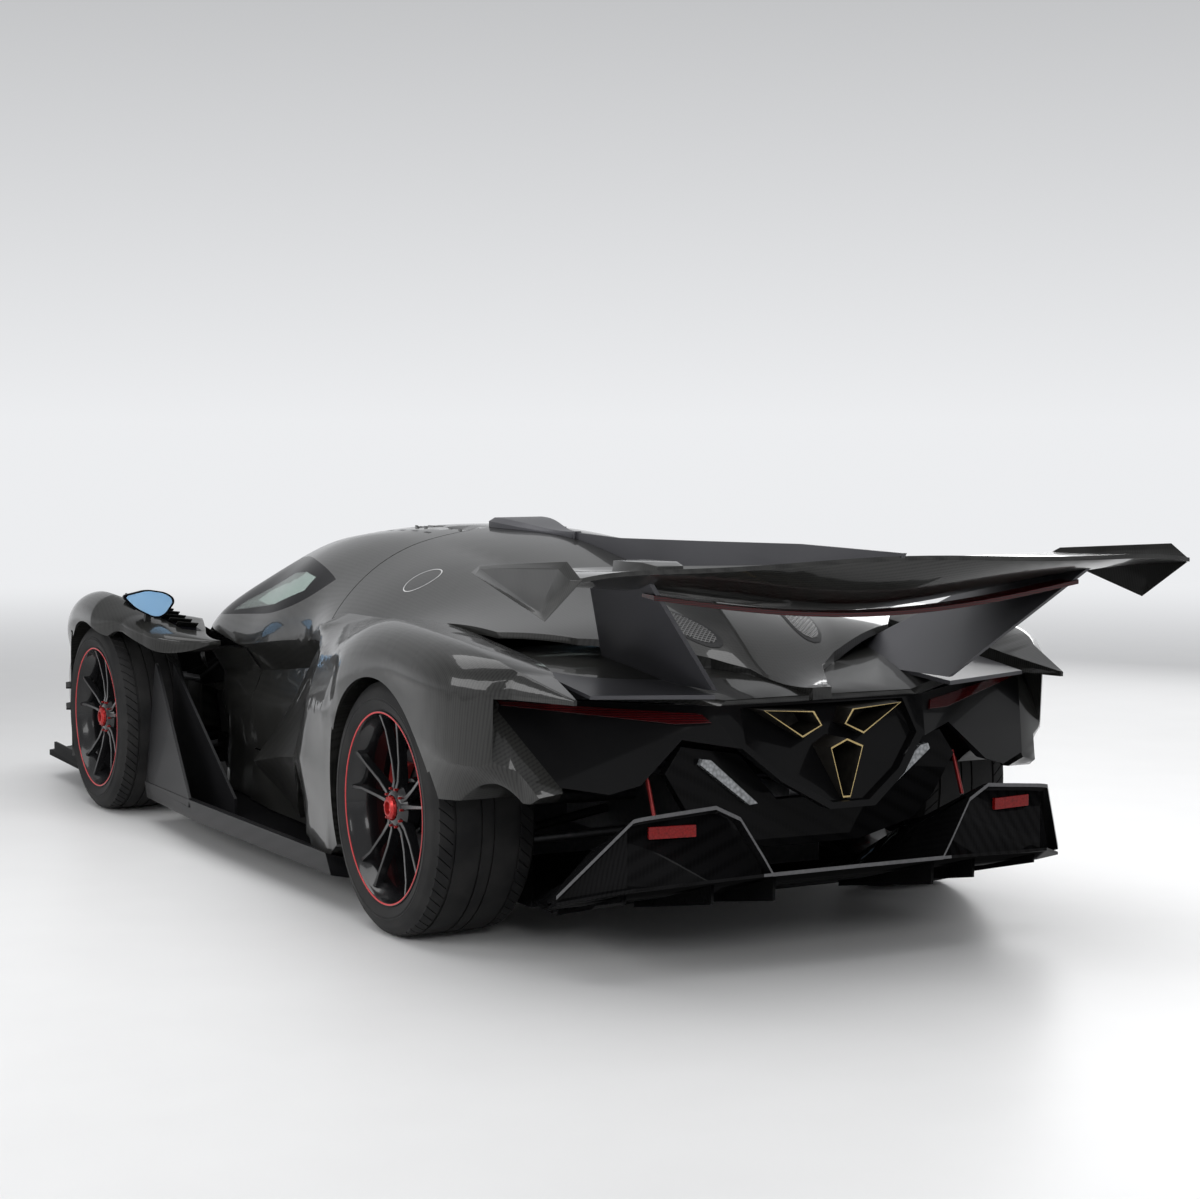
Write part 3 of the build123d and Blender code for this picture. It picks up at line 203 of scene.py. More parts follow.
def carbon(name, dark, light, coat, rough, specular=0.2):
    """Woven carbon: fine upright tows, crossed by fainter ones, with slow changes of tone."""
    finish, tree, shader = new_finish(name)
    place = node(tree, "ShaderNodeTexCoord")
    turn = node(tree, "ShaderNodeMapping", {"Vector": place.outputs["Object"],
                                            "Rotation": (math.radians(8), 0, math.radians(4))})
    warp = node(tree, "ShaderNodeTexWave", {"Vector": turn.outputs[0], "Scale": WAVES / (2 * TOW)},
                bands_direction="Y")
    weft = node(tree, "ShaderNodeTexWave", {"Vector": turn.outputs[0], "Scale": WAVES / (3 * TOW)},
                bands_direction="X")
    cloth = node(tree, "ShaderNodeMath", {0: weft.outputs["Fac"], 1: 0.35, 2: warp.outputs["Fac"]},
                 operation="MULTIPLY_ADD")
    slow = node(tree, "ShaderNodeTexNoise", {"Vector": place.outputs["Object"], "Scale": 2.2, "Detail": 3.0})
    value = node(tree, "ShaderNodeMath", {0: cloth.outputs[0], 1: 0.6, 2: slow.outputs["Fac"]},
                 operation="MULTIPLY_ADD")
    coloured(tree, shader, value.outputs[0], dark, light, (0.25, 1.0))
    rub = node(tree, "ShaderNodeMapRange", {"Value": cloth.outputs[0], "To Min": rough + 0.06,
                                            "To Max": rough})
    tree.links.new(rub.outputs["Result"], shader.inputs["Roughness"])
    shader.inputs["Specular IOR Level"].default_value = specular
    shader.inputs["Coat Weight"].default_value = coat
    shader.inputs["Coat Roughness"].default_value = 0.03
    shader.inputs["Coat IOR"].default_value = 1.45
    return finish


def rounded(made, width, sharper):
    """Rounds the edges of a piece that are sharper than an angle in degrees."""
    edge = made.modifiers.new("edge", "BEVEL")
    edge.width = width
    edge.segments = 2
    edge.limit_method = "ANGLE"
    edge.angle_limit = math.radians(sharper)
    edge.harden_normals = True


def dressed(name, finish, body, bevel=0.002, smooth=30.0, shape=None):
    """A CAD panel with its doubles merged, its curves shaded smooth and its edges rounded."""
    bm = bmesh.new()
    bm.from_mesh(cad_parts[name].data)
    bmesh.ops.remove_doubles(bm, verts=bm.verts, dist=1e-5)
    bmesh.ops.dissolve_degenerate(bm, dist=1e-5, edges=bm.edges)
    if shape:
        shape(bm)
    made = piece(name + "_panel", bm, finish, body, name, smooth)
    if bevel:
        rounded(made, bevel, smooth)
    return made


def eased(value):
    """A soft step from 0 to 1."""
    value = min(1.0, max(0.0, value))
    return value * value * (3 - 2 * value)


def along(stations, y):
    """A height or width read off a short table of (y, value) stations."""
    for (y0, a), (y1, b) in zip(stations, stations[1:]):
        if y <= y1:
            return a + (b - a) * max(0.0, (y - y0) / (y1 - y0))
    return stations[-1][1]


def narrow_front(bm, most=0.080):
    """Draws the body in ahead of the front wheel, towards the lamp."""
    for v in bm.verts:
        outer = min(1.0, max(0.0, (abs(v.co.x) - 0.60) / 0.26))
        pull = most * eased((-1.50 - v.co.y) / 0.70) * outer
        v.co.x -= math.copysign(pull, v.co.x)


ARCH_END = -1.25           # from here the fender tapers to a blade behind the wheel
# along the car: height of the crest in the CAD, height of the blade's, and its share of width
CREST = [(-1.25, 0.8046), (-1.0, 0.776), (-0.6, 0.652)]
BLADE_CREST = [(-1.25, 0.8046), (-1.0625, 0.748), (-0.876, 0.694), (-0.7625, 0.668)]
BLADE_EDGE = [(-1.25, 1.0), (-1.07, 0.950), (-0.94, 0.955), (-0.7625, 1.01)]
BLADE_LENGTH = 0.75        # share of the CAD fender's length behind the wheel
BLADE_THIN = 0.64          # how much of its height is taken away


def front_fender(bm):
    """Draws the fender in ahead of its wheel and thins it to a blade behind."""
    narrow_front(bm)
    for v in bm.verts:
        if v.co.y > ARCH_END:
            thin = 1 - BLADE_THIN * eased((v.co.y - ARCH_END) / 0.25)
            top = along(CREST, v.co.y)
            v.co.y = ARCH_END + (v.co.y - ARCH_END) * BLADE_LENGTH
            v.co.z = along(BLADE_CREST, v.co.y) - (top - v.co.z) * thin
            v.co.x *= along(BLADE_EDGE, v.co.y)


# y of each station of the haunch, then its section as (z, x)
HAUNCH = [(0.30, [(0.285, 0.800), (0.378, 0.815), (0.560, 0.765), (0.680, 0.735), (0.775, 0.700)]),
          (0.665, [(0.285, 0.915), (0.426, 0.938), (0.600, 0.915), (0.755, 0.860), (0.838, 0.722)]),
          (0.926, [(0.285, 0.950), (0.468, 0.958), (0.600, 0.968), (0.795, 0.905), (0.866, 0.760)]),
          (1.20, [(0.300, 0.960), (0.600, 0.988), (0.720, 0.988), (0.830, 0.950), (0.884, 0.840)])]
HAUNCH_END = 1.10          # the fairing has died out by here
REAR_AXLE = (1.350, 0.364)          # y and z
ARCH_RADIUS = 0.412        # lip of the rear arch, about the axle


def rear_fender(bm):
    """Fairs the haunch ahead of the rear wheel, so that one smooth arch runs up from the sill."""
    for v in bm.verts:
        side, wide, y = math.copysign(1, v.co.x), abs(v.co.x), v.co.y
        if not HAUNCH[0][0] < y < HAUNCH_END or v.normal.x * side < 0.15:
            continue
        if math.hypot(y - REAR_AXLE[0], v.co.z - REAR_AXLE[1]) < ARCH_RADIUS:
            continue
        if any(side * f.normal.x < 0.1 for f in v.link_faces):
            continue
        for (y0, low), (y1, high) in zip(HAUNCH, HAUNCH[1:]):
            if y0 <= y <= y1:
                share = (y - y0) / (y1 - y0)
                faired = along(low, v.co.z) * (1 - share) + along(high, v.co.z) * share
                weight = eased((0.80 - v.co.z) / 0.08) * eased((HAUNCH_END - y) / 0.15)
                v.co.x = side * (wide + (faired - wide) * weight)
                break


gloss_carbon = carbon("gloss_carbon", (0.0016, 0.0016, 0.0017), (0.020, 0.020, 0.0187), 0.70, 0.28, 0.12)
satin_carbon = carbon("satin_carbon", (0.003, 0.003, 0.0035), (0.011, 0.011, 0.012), 0.06, 0.42, 0.15)
# A darker copy of the carbon for the parts that sit in shade, under and behind the car and inside the arches:
# painted shade.
painted_shade_carbon = carbon("painted_shade_carbon", (0.0012, 0.0012, 0.0013), (0.0062, 0.0062, 0.0066), 0.14, 0.34, 0.0)
HINGE_LINE = (0.1784, 1.0980)       # x and z of the hinge pins
HINGE_STATIONS = (-0.060, 0.215)    # middles of the hinges along the car
HINGE_SINK = 0.012


def sink_hinges(bm):
    """Sinks the hinge barrels into their slots in the roof."""
    for v in bm.verts:
        from_pin = math.hypot(abs(v.co.x) - HINGE_LINE[0], v.co.z - HINGE_LINE[1])
        if from_pin < 0.0085 and min(abs(v.co.y - y) for y in HINGE_STATIONS) < 0.0480:
            v.co.z -= HINGE_SINK


satin_paint = mottled("satin_paint", ("Noise", 3.0, 3.0), (0.040, 0.040, 0.045), (0.075, 0.075, 0.083),
                      {"Metallic": 0.35}, rough=(0.34, 0.40))
SHAPES = {"roof_frame": sink_hinges, "front_bumper": narrow_front,
          "front_fender_left": front_fender, "front_fender_right": front_fender,
          "rear_fender_left": rear_fender, "rear_fender_right": rear_fender}
PANEL_EDGE = 0.0012        # edge rounding of the lacquered panels
for name in ("nose", "front_bumper", "front_fender_left", "front_fender_right", "roof_frame", "engine_cover",
             "rear_deck", "rear_fender_left", "rear_fender_right", "rear_wing", "wing_endplates"):
    dressed(name, gloss_carbon, "chassis", PANEL_EDGE, shape=SHAPES.get(name))
for name in ("door_left", "door_right"):
    dressed(name, gloss_carbon, name, PANEL_EDGE, shape=sink_hinges)
for name in ("roof_scoop", "shark_fin", "wing_struts"):
    dressed(name, satin_paint, "chassis")
for name in ("side_skirts", "skirt_fins"):
    dressed(name, satin_carbon, "chassis")
# The tail carrier and the splitter are in the darker carbon: painted shade.
dressed("tail_carrier", painted_shade_carbon, "chassis")
dressed("front_splitter", painted_shade_carbon, "chassis",
        shape=lambda bm: narrow_front(bm, 0.040))

# ---------------------------------------------------------------- flanks
# Hollow flank of thin gloss carbon between the front wheel and the door, a liner inside the
# front arch, and a sill cover under the door. All are moulded skins, glued to the tub.
SKIN = 0.003               # thickness of the mouldings
FLANK_END = -0.5855        # where the flank meets the door
# y of each rib of the flank, then x at its foot, ledge, hollow and crease
FLANK_ROWS = [(-1.235, 0.500, 0.515, 0.520, 0.560), (-1.100, 0.520, 0.542, 0.545, 0.585),
              (-0.985, 0.548, 0.578, 0.573, 0.628), (-0.900, 0.560, 0.590, 0.577, 0.634),
              (-0.740, 0.585, 0.608, 0.580, 0.641), (FLANK_END, 0.610, 0.625, 0.582, 0.646)]
TUB_SIDE = 0.594           # side of the tub, which runs forward to TUB_NOSE
TUB_NOSE = -0.95
# y, low z and high z along the liner; x and y along the sill
LINER_ROWS = ((-1.62, 0.46, 0.700), (-1.25, 0.46, 0.695), (-1.00, 0.50, 0.665), (-0.80, 0.60, 0.645))
SILL_ROWS = ((0.610, -0.585), (0.640, -0.300), (0.650, 0.0), (0.655, 0.250))


def strip(rails):
    """A ribbon of faces across pairs of points."""
    bm = bmesh.new()
    edges = [bm.edges.new((bm.verts.new(low), bm.verts.new(high))) for low, high in rails]
    for a, b in zip(edges, edges[1:]):
        bm.faces.new((a.verts[0], b.verts[0], b.verts[1], a.verts[1]))
    return bm


def thicken(bm, side=0):
    """Thickens an open skin, which faces outward where a side of the car is given."""
    bmesh.ops.recalc_face_normals(bm, faces=bm.faces)
    if sum(f.normal.x for f in bm.faces) * side < 0:
        bmesh.ops.reverse_faces(bm, faces=bm.faces)
    bmesh.ops.solidify(bm, geom=bm.faces[:], thickness=SKIN)


for side, side_name in ((1, "left"), (-1, "right")):
    bm = bmesh.new()
    rows = []
    for y, foot, ledge, hollow, crease in FLANK_ROWS:
        lift = 0.035 * (y - FLANK_END) / 0.4
        inner = max(foot, TUB_SIDE) if y > TUB_NOSE else foot
        rows.append([bm.verts.new((side * x, y, z)) for x, z in (
            (inner + 0.010, 0.115), (inner, 0.285), (ledge, 0.460 + lift), (hollow, 0.570 + lift),
            (crease, 0.655 + lift), (crease - 0.070, 0.668 + lift))])
    for a, b in zip(rows, rows[1:]):
        for i in range(5):
            bm.faces.new((a[i], b[i], b[i + 1], a[i + 1]))
    bmesh.ops.subdivide_edges(bm, edges=bm.edges[:], cuts=3, use_grid_fill=True, smooth=0.9)
    thicken(bm, side)
    piece(f"flank_panel_{side_name}", bm, gloss_carbon, "chassis", smooth=50)
    # The arch liner is a dark sheet in the darker carbon: painted shade inside the front wheel arch.
    bm = strip(((side * 0.560, y, low), (side * 0.586, y, high)) for y, low, high in LINER_ROWS)
    thicken(bm)
    piece(f"arch_liner_{side_name}", bm, painted_shade_carbon, "chassis")
    bm = strip(((side * (x + 0.020), y, 0.115), (side * x, y, 0.292)) for x, y in SILL_ROWS)
    thicken(bm, side)
    piece(f"sill_cover_{side_name}", bm, gloss_carbon, "chassis")


# ---------------------------------------------------------------- tyres
# Low-profile semi-slick road tyres: a smooth centre, slanted shoulder blocks and a ribbed,
# dusty side wall. Moulded rubber, seated on the rims' beads.
rubber = mottled("tyre_rubber", ("Noise", 9.0, 6.0), (0.006, 0.006, 0.0065), (0.022, 0.0215, 0.021),
                 {"Specular IOR Level": 0.25}, ends=(0.35, 0.75), rough=(0.55, 0.82),
                 relief=(("Noise", 420.0, 2.0), 0.25, 0.0005))
# outer face x, width, tyre radius, rim radius, disc radius and axle y of each wheel
FRONT = {"face": 0.962, "width": 0.265, "radius": 0.347, "rim": 0.262, "disc": 0.195, "axle": -1.350}
REAR = {"face": 0.965, "width": 0.325, "radius": 0.364, "rim": 0.276, "disc": 0.200, "axle": 1.350}


def turned(bm, profile, steps, closed=True):
    """A profile of (x, radius) points spun about the x axis."""
    verts = [bm.verts.new((x, 0, r)) for x, r in profile]
    edges = [bm.edges.new((verts[i], verts[i + 1])) for i in range(len(verts) - 1)]
    if closed:
        edges.append(bm.edges.new((verts[-1], verts[0])))
    bmesh.ops.spin(bm, geom=verts + edges, cent=(0, 0, 0), axis=(1, 0, 0), angle=math.tau, steps=steps,
                   use_merge=True, use_duplicate=False)
    bmesh.ops.remove_doubles(bm, verts=bm.verts, dist=1e-6)
    bmesh.ops.recalc_face_normals(bm, faces=bm.faces)


def to_side(bm, wheel, side):
    """Moves a part made on the axle to its corner of the car; side is 1 on the left."""
    if side < 0:
        bmesh.ops.scale(bm, vec=(-1, 1, 1), verts=bm.verts)
        bmesh.ops.reverse_faces(bm, faces=bm.faces)
    bmesh.ops.translate(bm, vec=(0, wheel["axle"], wheel["radius"]), verts=bm.verts)


def from_axle(point):
    """Distance of a point from the axle, for parts still made about it."""
    return math.hypot(point.y, point.z)


def raise_tread(verts):
    """Lifts verts outward by the depth of the tread."""
    for v in verts:
        reach = from_axle(v.co)
        v.co.y *= (reach + TREAD_DEPTH) / reach
        v.co.z *= (reach + TREAD_DEPTH) / reach


TREAD_DEPTH = 0.0055
TREAD_BLOCKS = 66          # shoulder blocks round the tyre
TREAD_START = 0.019        # from the tyre's side in to the first block
GROOVE = (0.062, 0.068)    # the groove between the shoulder blocks and the rib
SLANT_START = 0.075        # the tread slants from here out
SLANT = 0.9
for place_name, wheel in (("front", FRONT), ("rear", REAR)):
    for side, side_name in ((1, "left"), (-1, "right")):
        out, back, r, bead = wheel["face"], wheel["face"] - wheel["width"], wheel["radius"], wheel["rim"]
        base = r - TREAD_DEPTH
        middle = (out + back) / 2
        w = wheel["width"]
        bm = bmesh.new()
        half = [(0.012, bead), (0.0045, bead + 0.012), (0.0, bead + 0.030), (0.0022, bead + 0.034),
                (0.0, bead + 0.038), (0.0016, r - 0.046), (0.0055, r - 0.030), (0.0100, r - 0.0195)]
        tread = [(TREAD_START, base - 0.0075), (0.036, base - 0.0035), (GROOVE[0], base - 0.0012),
                 (GROOVE[1], base - 0.001), (w * 0.5 - 0.022, base), (w * 0.5 - 0.016, base)]
        left = [(out - x, rr) for x, rr in half + tread]
        right = [(back + x, rr) for x, rr in reversed(half + tread)]
        turned(bm, left + right, TREAD_BLOCKS * 2)
        shoulder, rib, centre, pairs = [], [], [], {}
        for face in bm.faces:
            c = face.calc_center_median()
            d = min(out - c.x, c.x - back)
            if (from_axle(c) > base - 0.009 and TREAD_START < d < w * 0.5 - 0.0225
                    and not GROOVE[0] < d < GROOVE[1]):
                (shoulder if d < GROOVE[0] else rib).append(face)
            if abs(c.x - middle) < 0.016 and from_axle(c) > base - 0.002:
                centre.append(face)
        for face in shoulder:
            c = face.calc_center_median()
            turn_at = math.atan2(c.z, c.y) % math.tau
            pairs.setdefault((int(turn_at / (math.tau / TREAD_BLOCKS)), c.x > middle), []).append(face)
        for group in pairs.values():
            bmesh.ops.inset_region(bm, faces=group, thickness=0.0022, depth=0, use_even_offset=True)
            raise_tread({v for f in group for v in f.verts})
        for group in (rib, centre):
            lifted = bmesh.ops.extrude_face_region(bm, geom=group)
            bmesh.ops.delete(bm, geom=group, context="FACES_ONLY")
            raise_tread(v for v in lifted["geom"] if isinstance(v, bmesh.types.BMVert))
        for v in bm.verts:
            d = abs(v.co.x - middle)
            if from_axle(v.co) > base - 0.02 and d > w * 0.5 - SLANT_START:
                swing = (d - (w * 0.5 - SLANT_START)) * SLANT / r
                v.co = Matrix.Rotation(swing if v.co.x > middle else -swing, 4, "X") @ v.co
        bmesh.ops.recalc_face_normals(bm, faces=bm.faces)
        to_side(bm, wheel, side)
        piece(f"tyre_{place_name}_{side_name}_treaded", bm, rubber, f"wheel_{place_name}_{side_name}_body",
              f"tyre_{place_name}_{side_name}", 38)

# ---------------------------------------------------------------- wheels and brake discs
# Forged wheels in gloss black, each with a red pin-stripe on its stepped lip and five pairs
# of slim spokes, held by one red anodised centre-lock nut. A carbon-ceramic disc on a black
# bell is bolted behind the spokes and turns with the wheel.
rim_black = mottled("rim_black", ("Noise", 14.0, 5.0), (0.004, 0.004, 0.0045), (0.010, 0.010, 0.011),
                    {"Roughness": 0.22, "Specular IOR Level": 0.25, "Coat Weight": 0.45,
                     "Coat Roughness": 0.04})


def anodised(name, dark, light, rough, metal):
    """Coloured metal with fine turning marks."""
    return mottled(name, ("Noise", 60.0, 4.0), dark, light, {"Metallic": metal},
                   rough=(rough, rough + 0.12))


red_metal = anodised("red_anodised", (0.30, 0.012, 0.012), (0.48, 0.03, 0.028), 0.28, 0.55)
red_paint = anodised("red_stripe", (0.42, 0.012, 0.015), (0.55, 0.025, 0.03), 0.30, 0.0)
disc_ceramic = anodised("disc_ceramic", (0.030, 0.030, 0.032), (0.075, 0.075, 0.078), 0.34, 0.6)
SPOKE_PAIRS = 5
RIM_STEPS = 96             # steps round the rim, its stripe and the disc
NUT_STEPS = 60             # steps round the centre nut, which has a tooth to every five
BOLTS = 10                 # round the hub


def bar(bm, sections):
    """A solid bar through four-cornered sections, closed at both ends."""
    rows = [[bm.verts.new(p) for p in section] for section in sections]
    for a, b in zip(rows, rows[1:]):
        for i in range(4):
            bm.faces.new((a[i], a[(i + 1) % 4], b[(i + 1) % 4], b[i]))
    bm.faces.new(rows[0][::-1])
    bm.faces.new(rows[-1])
    return [v for row in rows for v in row]


for place_name, wheel in (("front", FRONT), ("rear", REAR)):
    for side, side_name in ((1, "left"), (-1, "right")):
        body = f"wheel_{place_name}_{side_name}_body"
        out, back, r = wheel["face"] - 0.008, wheel["face"] - wheel["width"] + 0.008, wheel["rim"] - 0.0005
        hub = wheel["face"] - 0.038
        bm = bmesh.new()
        turned(bm, [(out, r), (out - 0.003, r + 0.0004), (out - 0.020, r), (out - 0.028, r - 0.006),
                    (out - 0.070, r - 0.022), (back + 0.040, r - 0.012), (back, r), (back, r - 0.010),
                    (back + 0.040, r - 0.022), (out - 0.072, r - 0.034), (out - 0.034, r - 0.024),
                    (out - 0.022, r - 0.013), (out - 0.008, r - 0.010), (out, r - 0.006)], RIM_STEPS)
        for pair in range(SPOKE_PAIRS):
            turn = Matrix.Rotation(math.tau / SPOKE_PAIRS * pair, 4, "X")
            for lean in (-1, 1):
                rows = []
                for reach, across, half, face_x, deep in (
                        (0.034, 0.009, 0.014, hub, 0.034), (0.075, 0.013, 0.0105, hub - 0.010, 0.030),
                        (0.130, 0.024, 0.0082, hub - 0.008, 0.026),
                        (r - 0.060, 0.040, 0.0078, hub + 0.003, 0.024),
                        (r - 0.022, 0.053, 0.0095, out - 0.018, 0.024),
                        (r - 0.0095, 0.058, 0.012, out - 0.012, 0.020)):
                    c = lean * across
                    rows.append([(face_x - deep, c - half, reach), (face_x - deep, c + half, reach),
                                 (face_x, c + half * 0.62, reach), (face_x, c - half * 0.62, reach)])
                verts = bar(bm, rows)
                bmesh.ops.transform(bm, matrix=turn, verts=verts)
        hub_ring = bmesh.new()
        turned(hub_ring, [(hub - 0.055, 0.070), (hub - 0.020, 0.066), (hub - 0.004, 0.052),
                          (hub + 0.002, 0.040), (hub + 0.002, 0.033), (hub - 0.055, 0.030)], 64)
        extra = bpy.data.meshes.new("hub")
        hub_ring.to_mesh(extra)
        hub_ring.free()
        bm.from_mesh(extra)
        bmesh.ops.recalc_face_normals(bm, faces=bm.faces)
        to_side(bm, wheel, side)
        rim = piece(f"rim_{place_name}_{side_name}", bm, rim_black, body,
                    f"wheel_{place_name}_{side_name}", 32)
        rounded(rim, 0.0018, 38)
        bm = bmesh.new()
        turned(bm, [(out + 0.0006, r - 0.0060), (out + 0.0010, r - 0.0020), (out - 0.002, r - 0.0015),
                    (out - 0.002, r - 0.0065)], RIM_STEPS)
        to_side(bm, wheel, side)
        piece(f"rim_stripe_{place_name}_{side_name}", bm, red_paint, body)
        bm = bmesh.new()
        turned(bm, [(hub + 0.0025, 0.033), (hub + 0.010, 0.031), (hub + 0.016, 0.0235), (hub + 0.016, 0.019),
                    (hub + 0.004, 0.017), (hub - 0.012, 0.0), (hub - 0.050, 0.0), (hub - 0.050, 0.029)],
               NUT_STEPS, False)
        teeth = []
        for face in bm.faces:
            c = face.calc_center_median()
            step = int((math.atan2(c.z, c.y) % math.tau) / (math.tau / NUT_STEPS))
            if c.x > hub + 0.002 and from_axle(c) > 0.028 and step % 5 < 2:
                teeth.append(face)
        bmesh.ops.inset_individual(bm, faces=teeth, thickness=0.0002, depth=0.0035)
        for k in range(BOLTS):
            pin = bmesh.ops.create_cone(bm, cap_ends=True, segments=10, radius1=0.0042, radius2=0.0034,
                                        depth=0.012)
            turn = Matrix.Rotation(math.tau / BOLTS * (k + 0.5), 4, "X")
            turn = turn @ Matrix.Translation((hub - 0.004, 0, 0.0555)) @ Matrix.Rotation(math.pi / 2, 4, "Y")
            bmesh.ops.transform(bm, matrix=turn, verts=pin["verts"])
        to_side(bm, wheel, side)
        piece(f"centre_nut_{place_name}_{side_name}", bm, red_metal, body)
        disc_x = wheel["face"] - wheel["width"] / 2 - 0.004
        bm = bmesh.new()
        turned(bm, [(disc_x - 0.017, 0.105), (disc_x - 0.017, wheel["disc"]), (disc_x - 0.004, wheel["disc"]),
                    (disc_x - 0.004, wheel["disc"] - 0.006), (disc_x + 0.004, wheel["disc"] - 0.006),
                    (disc_x + 0.004, wheel["disc"]), (disc_x + 0.017, wheel["disc"]),
                    (disc_x + 0.017, 0.105)], RIM_STEPS)
        to_side(bm, wheel, side)
        piece(f"brake_disc_{place_name}_{side_name}", bm, disc_ceramic, body)
        bm = bmesh.new()
        turned(bm, [(disc_x - 0.016, 0.032), (disc_x - 0.016, 0.108), (disc_x + 0.010, 0.108),
                    (disc_x + 0.018, 0.090), (hub - 0.060, 0.078), (hub - 0.056, 0.032)], 48)
        to_side(bm, wheel, side)
        piece(f"brake_bell_{place_name}_{side_name}", bm, rim_black, body)

# ---------------------------------------------------------------- hidden carbon and cast parts
# Floor, tub and canards in the darker carbon, whose darkness is painted shade; engine block, wishbones,
# shafts and uprights in cast or machined alloy, with red calipers bolted over the discs.
cast_alloy = anodised("cast_alloy", (0.055, 0.056, 0.060), (0.13, 0.13, 0.135), 0.38, 0.8)
for name in ("floor", "tub", "canards"):
    dressed(name, painted_shade_carbon, "chassis", 0.0015,
            shape=narrow_front if name == "canards" else None)
for name in ("engine", "front_wishbones", "rear_wishbones"):
    dressed(name, cast_alloy, "chassis", 0.0015)


def split_finish(made, second, chosen):
    """Gives a second finish to the faces that chosen(centre, normal) picks."""
    made.data.materials.append(second)
    for face in made.data.polygons:
        if chosen(face.center, face.normal):
            face.material_index = 1


for name, body, wheel in (("knuckle_front_left", "knuckle_left", FRONT),
                          ("knuckle_front_right", "knuckle_right", FRONT),
                          ("knuckles_rear", "chassis", REAR)):
    upright = dressed(name, cast_alloy, body, 0.002)
    split_finish(upright, red_metal, lambda c, n, w=wheel: abs(c.y - w["axle"]) > 0.06
                 and math.hypot(c.y - w["axle"], c.z - w["radius"]) > 0.112
                 and abs(c.x) > w["face"] - w["width"] / 2 - 0.052)

# ---------------------------------------------------------------- glass
# Thin glued glazing, faintly green, with a printed black border that hides the bond line.
glass = mottled("tinted_glass", ("Noise", 1.6, 2.0), (0.60, 0.70, 0.66), (0.68, 0.76, 0.72),
                {"Roughness": 0.0, "Transmission Weight": 0.92, "IOR": 1.2})
# Black print on the glass and black of the mirror rims; the same black laid on the roof slots and under the
# louvres is painted shade.
print_and_shade_black = mottled("print_and_painted_shade", ("Voronoi", 260.0), (0.002, 0.002, 0.003), (0.005, 0.005, 0.006),
                     {"Roughness": 0.16, "Specular IOR Level": 0.05, "Coat Weight": 0.0})
SIDE_OPENING = [(-0.860, 0.768), (-0.780, 0.806), (-0.400, 0.926), (-0.260, 0.938), (-0.125, 0.927),
                (-0.165, 0.880), (-0.420, 0.816)]
FRONT_OPENING = [(-0.455, -0.72), (-0.440, -1.06), (-0.330, -1.18), (0.0, -1.235), (0.330, -1.18),
                 (0.440, -1.06), (0.455, -0.72), (0.0, -0.68)]


def print_border(made, opening, flat):
    """Prints black on a glass outside its clear opening, which is drawn on the two axes of flat."""
    middle = sum((Vector(p) for p in opening), Vector((0, 0))) / len(opening)
    bm = bmesh.new()
    bm.from_mesh(made.data)
    walls = []
    for a, b in zip(opening, opening[1:] + opening[:1]):
        a, b = Vector(a), Vector(b)
        across = Vector((b.y - a.y, a.x - b.x)).normalized()
        if across.dot(middle - a) > 0:
            across = -across
        spot, way = Vector((0, 0, 0)), Vector((0, 0, 0))
        for axis, (s, w) in zip(flat, zip(a, across)):
            spot[axis], way[axis] = s, w
        walls.append((spot, way))
        bmesh.ops.bisect_plane(bm, geom=bm.verts[:] + bm.edges[:] + bm.faces[:], plane_co=spot, plane_no=way)
    for face in bm.faces:
        centre = face.calc_center_median()
        if any((centre - spot).dot(way) > 0 for spot, way in walls):
            face.material_index = 1
        face.smooth = True
    bm.to_mesh(made.data)
    bm.free()
    made.data.materials.append(print_and_shade_black)


for name, body, opening, flat in (("windscreen", "chassis", FRONT_OPENING, (0, 1)),
                                  ("door_glass_left", "door_left", SIDE_OPENING, (1, 2)),
                                  ("door_glass_right", "door_right", SIDE_OPENING, (1, 2))):
    print_border(dressed(name, glass, body, 0.0), opening, flat)

# ---------------------------------------------------------------- lamps
# Slanted headlamps with a row of cells under a clear cover, slim dark-red tail blades, a red
# blade under the wing, and fluted clear lamps low in the tail.
red_lens = mottled("red_lens", ("Wave", 52.0), (0.016, 0.0008, 0.0012), (0.050, 0.0015, 0.0025),
                   {"Roughness": 0.16, "Specular IOR Level": 0.2, "Coat Weight": 0.30},
                   bands_direction="Z")
bright_red = mottled("reflector_red", ("Voronoi", 170.0), (0.24, 0.005, 0.005), (0.11, 0.002, 0.002),
                     {"Roughness": 0.2, "Specular IOR Level": 0.2, "Coat Weight": 0.15})
clear_lens = mottled("fluted_lens", ("Voronoi", 95.0), (0.46, 0.48, 0.50), (0.10, 0.105, 0.11),
                     {"Roughness": 0.18, "Coat Weight": 1.0}, relief=(("Voronoi", 95.0), 0.5, 0.002))
smoked, tree, shader = new_finish("headlamp_cover")
place = node(tree, "ShaderNodeTexCoord")
turn = node(tree, "ShaderNodeMapping", {"Vector": place.outputs["Object"], "Rotation": (0, 0, 0.5)})
cells = node(tree, "ShaderNodeTexBrick", {"Vector": turn.outputs[0], "Scale": 14.0, "Mortar Size": 0.05,
                                          "Color1": (0.55, 0.57, 0.60, 1), "Color2": (0.38, 0.40, 0.43, 1),
                                          "Mortar": (0.01, 0.01, 0.012, 1)})
tree.links.new(cells.outputs["Color"], shader.inputs["Base Color"])
shader.inputs["Roughness"].default_value = 0.12
shader.inputs["Coat Weight"].default_value = 1.0
dressed("headlamps", smoked, "chassis", 0.001, shape=narrow_front)
dressed("rear_fog_lamps", clear_lens, "chassis", 0.002)
dressed("tail_lamps", red_lens, "chassis", 0.001)
dressed("wing_light", red_lens, "chassis", 0.001)
dressed("rear_reflectors", bright_red, "chassis", 0.002)

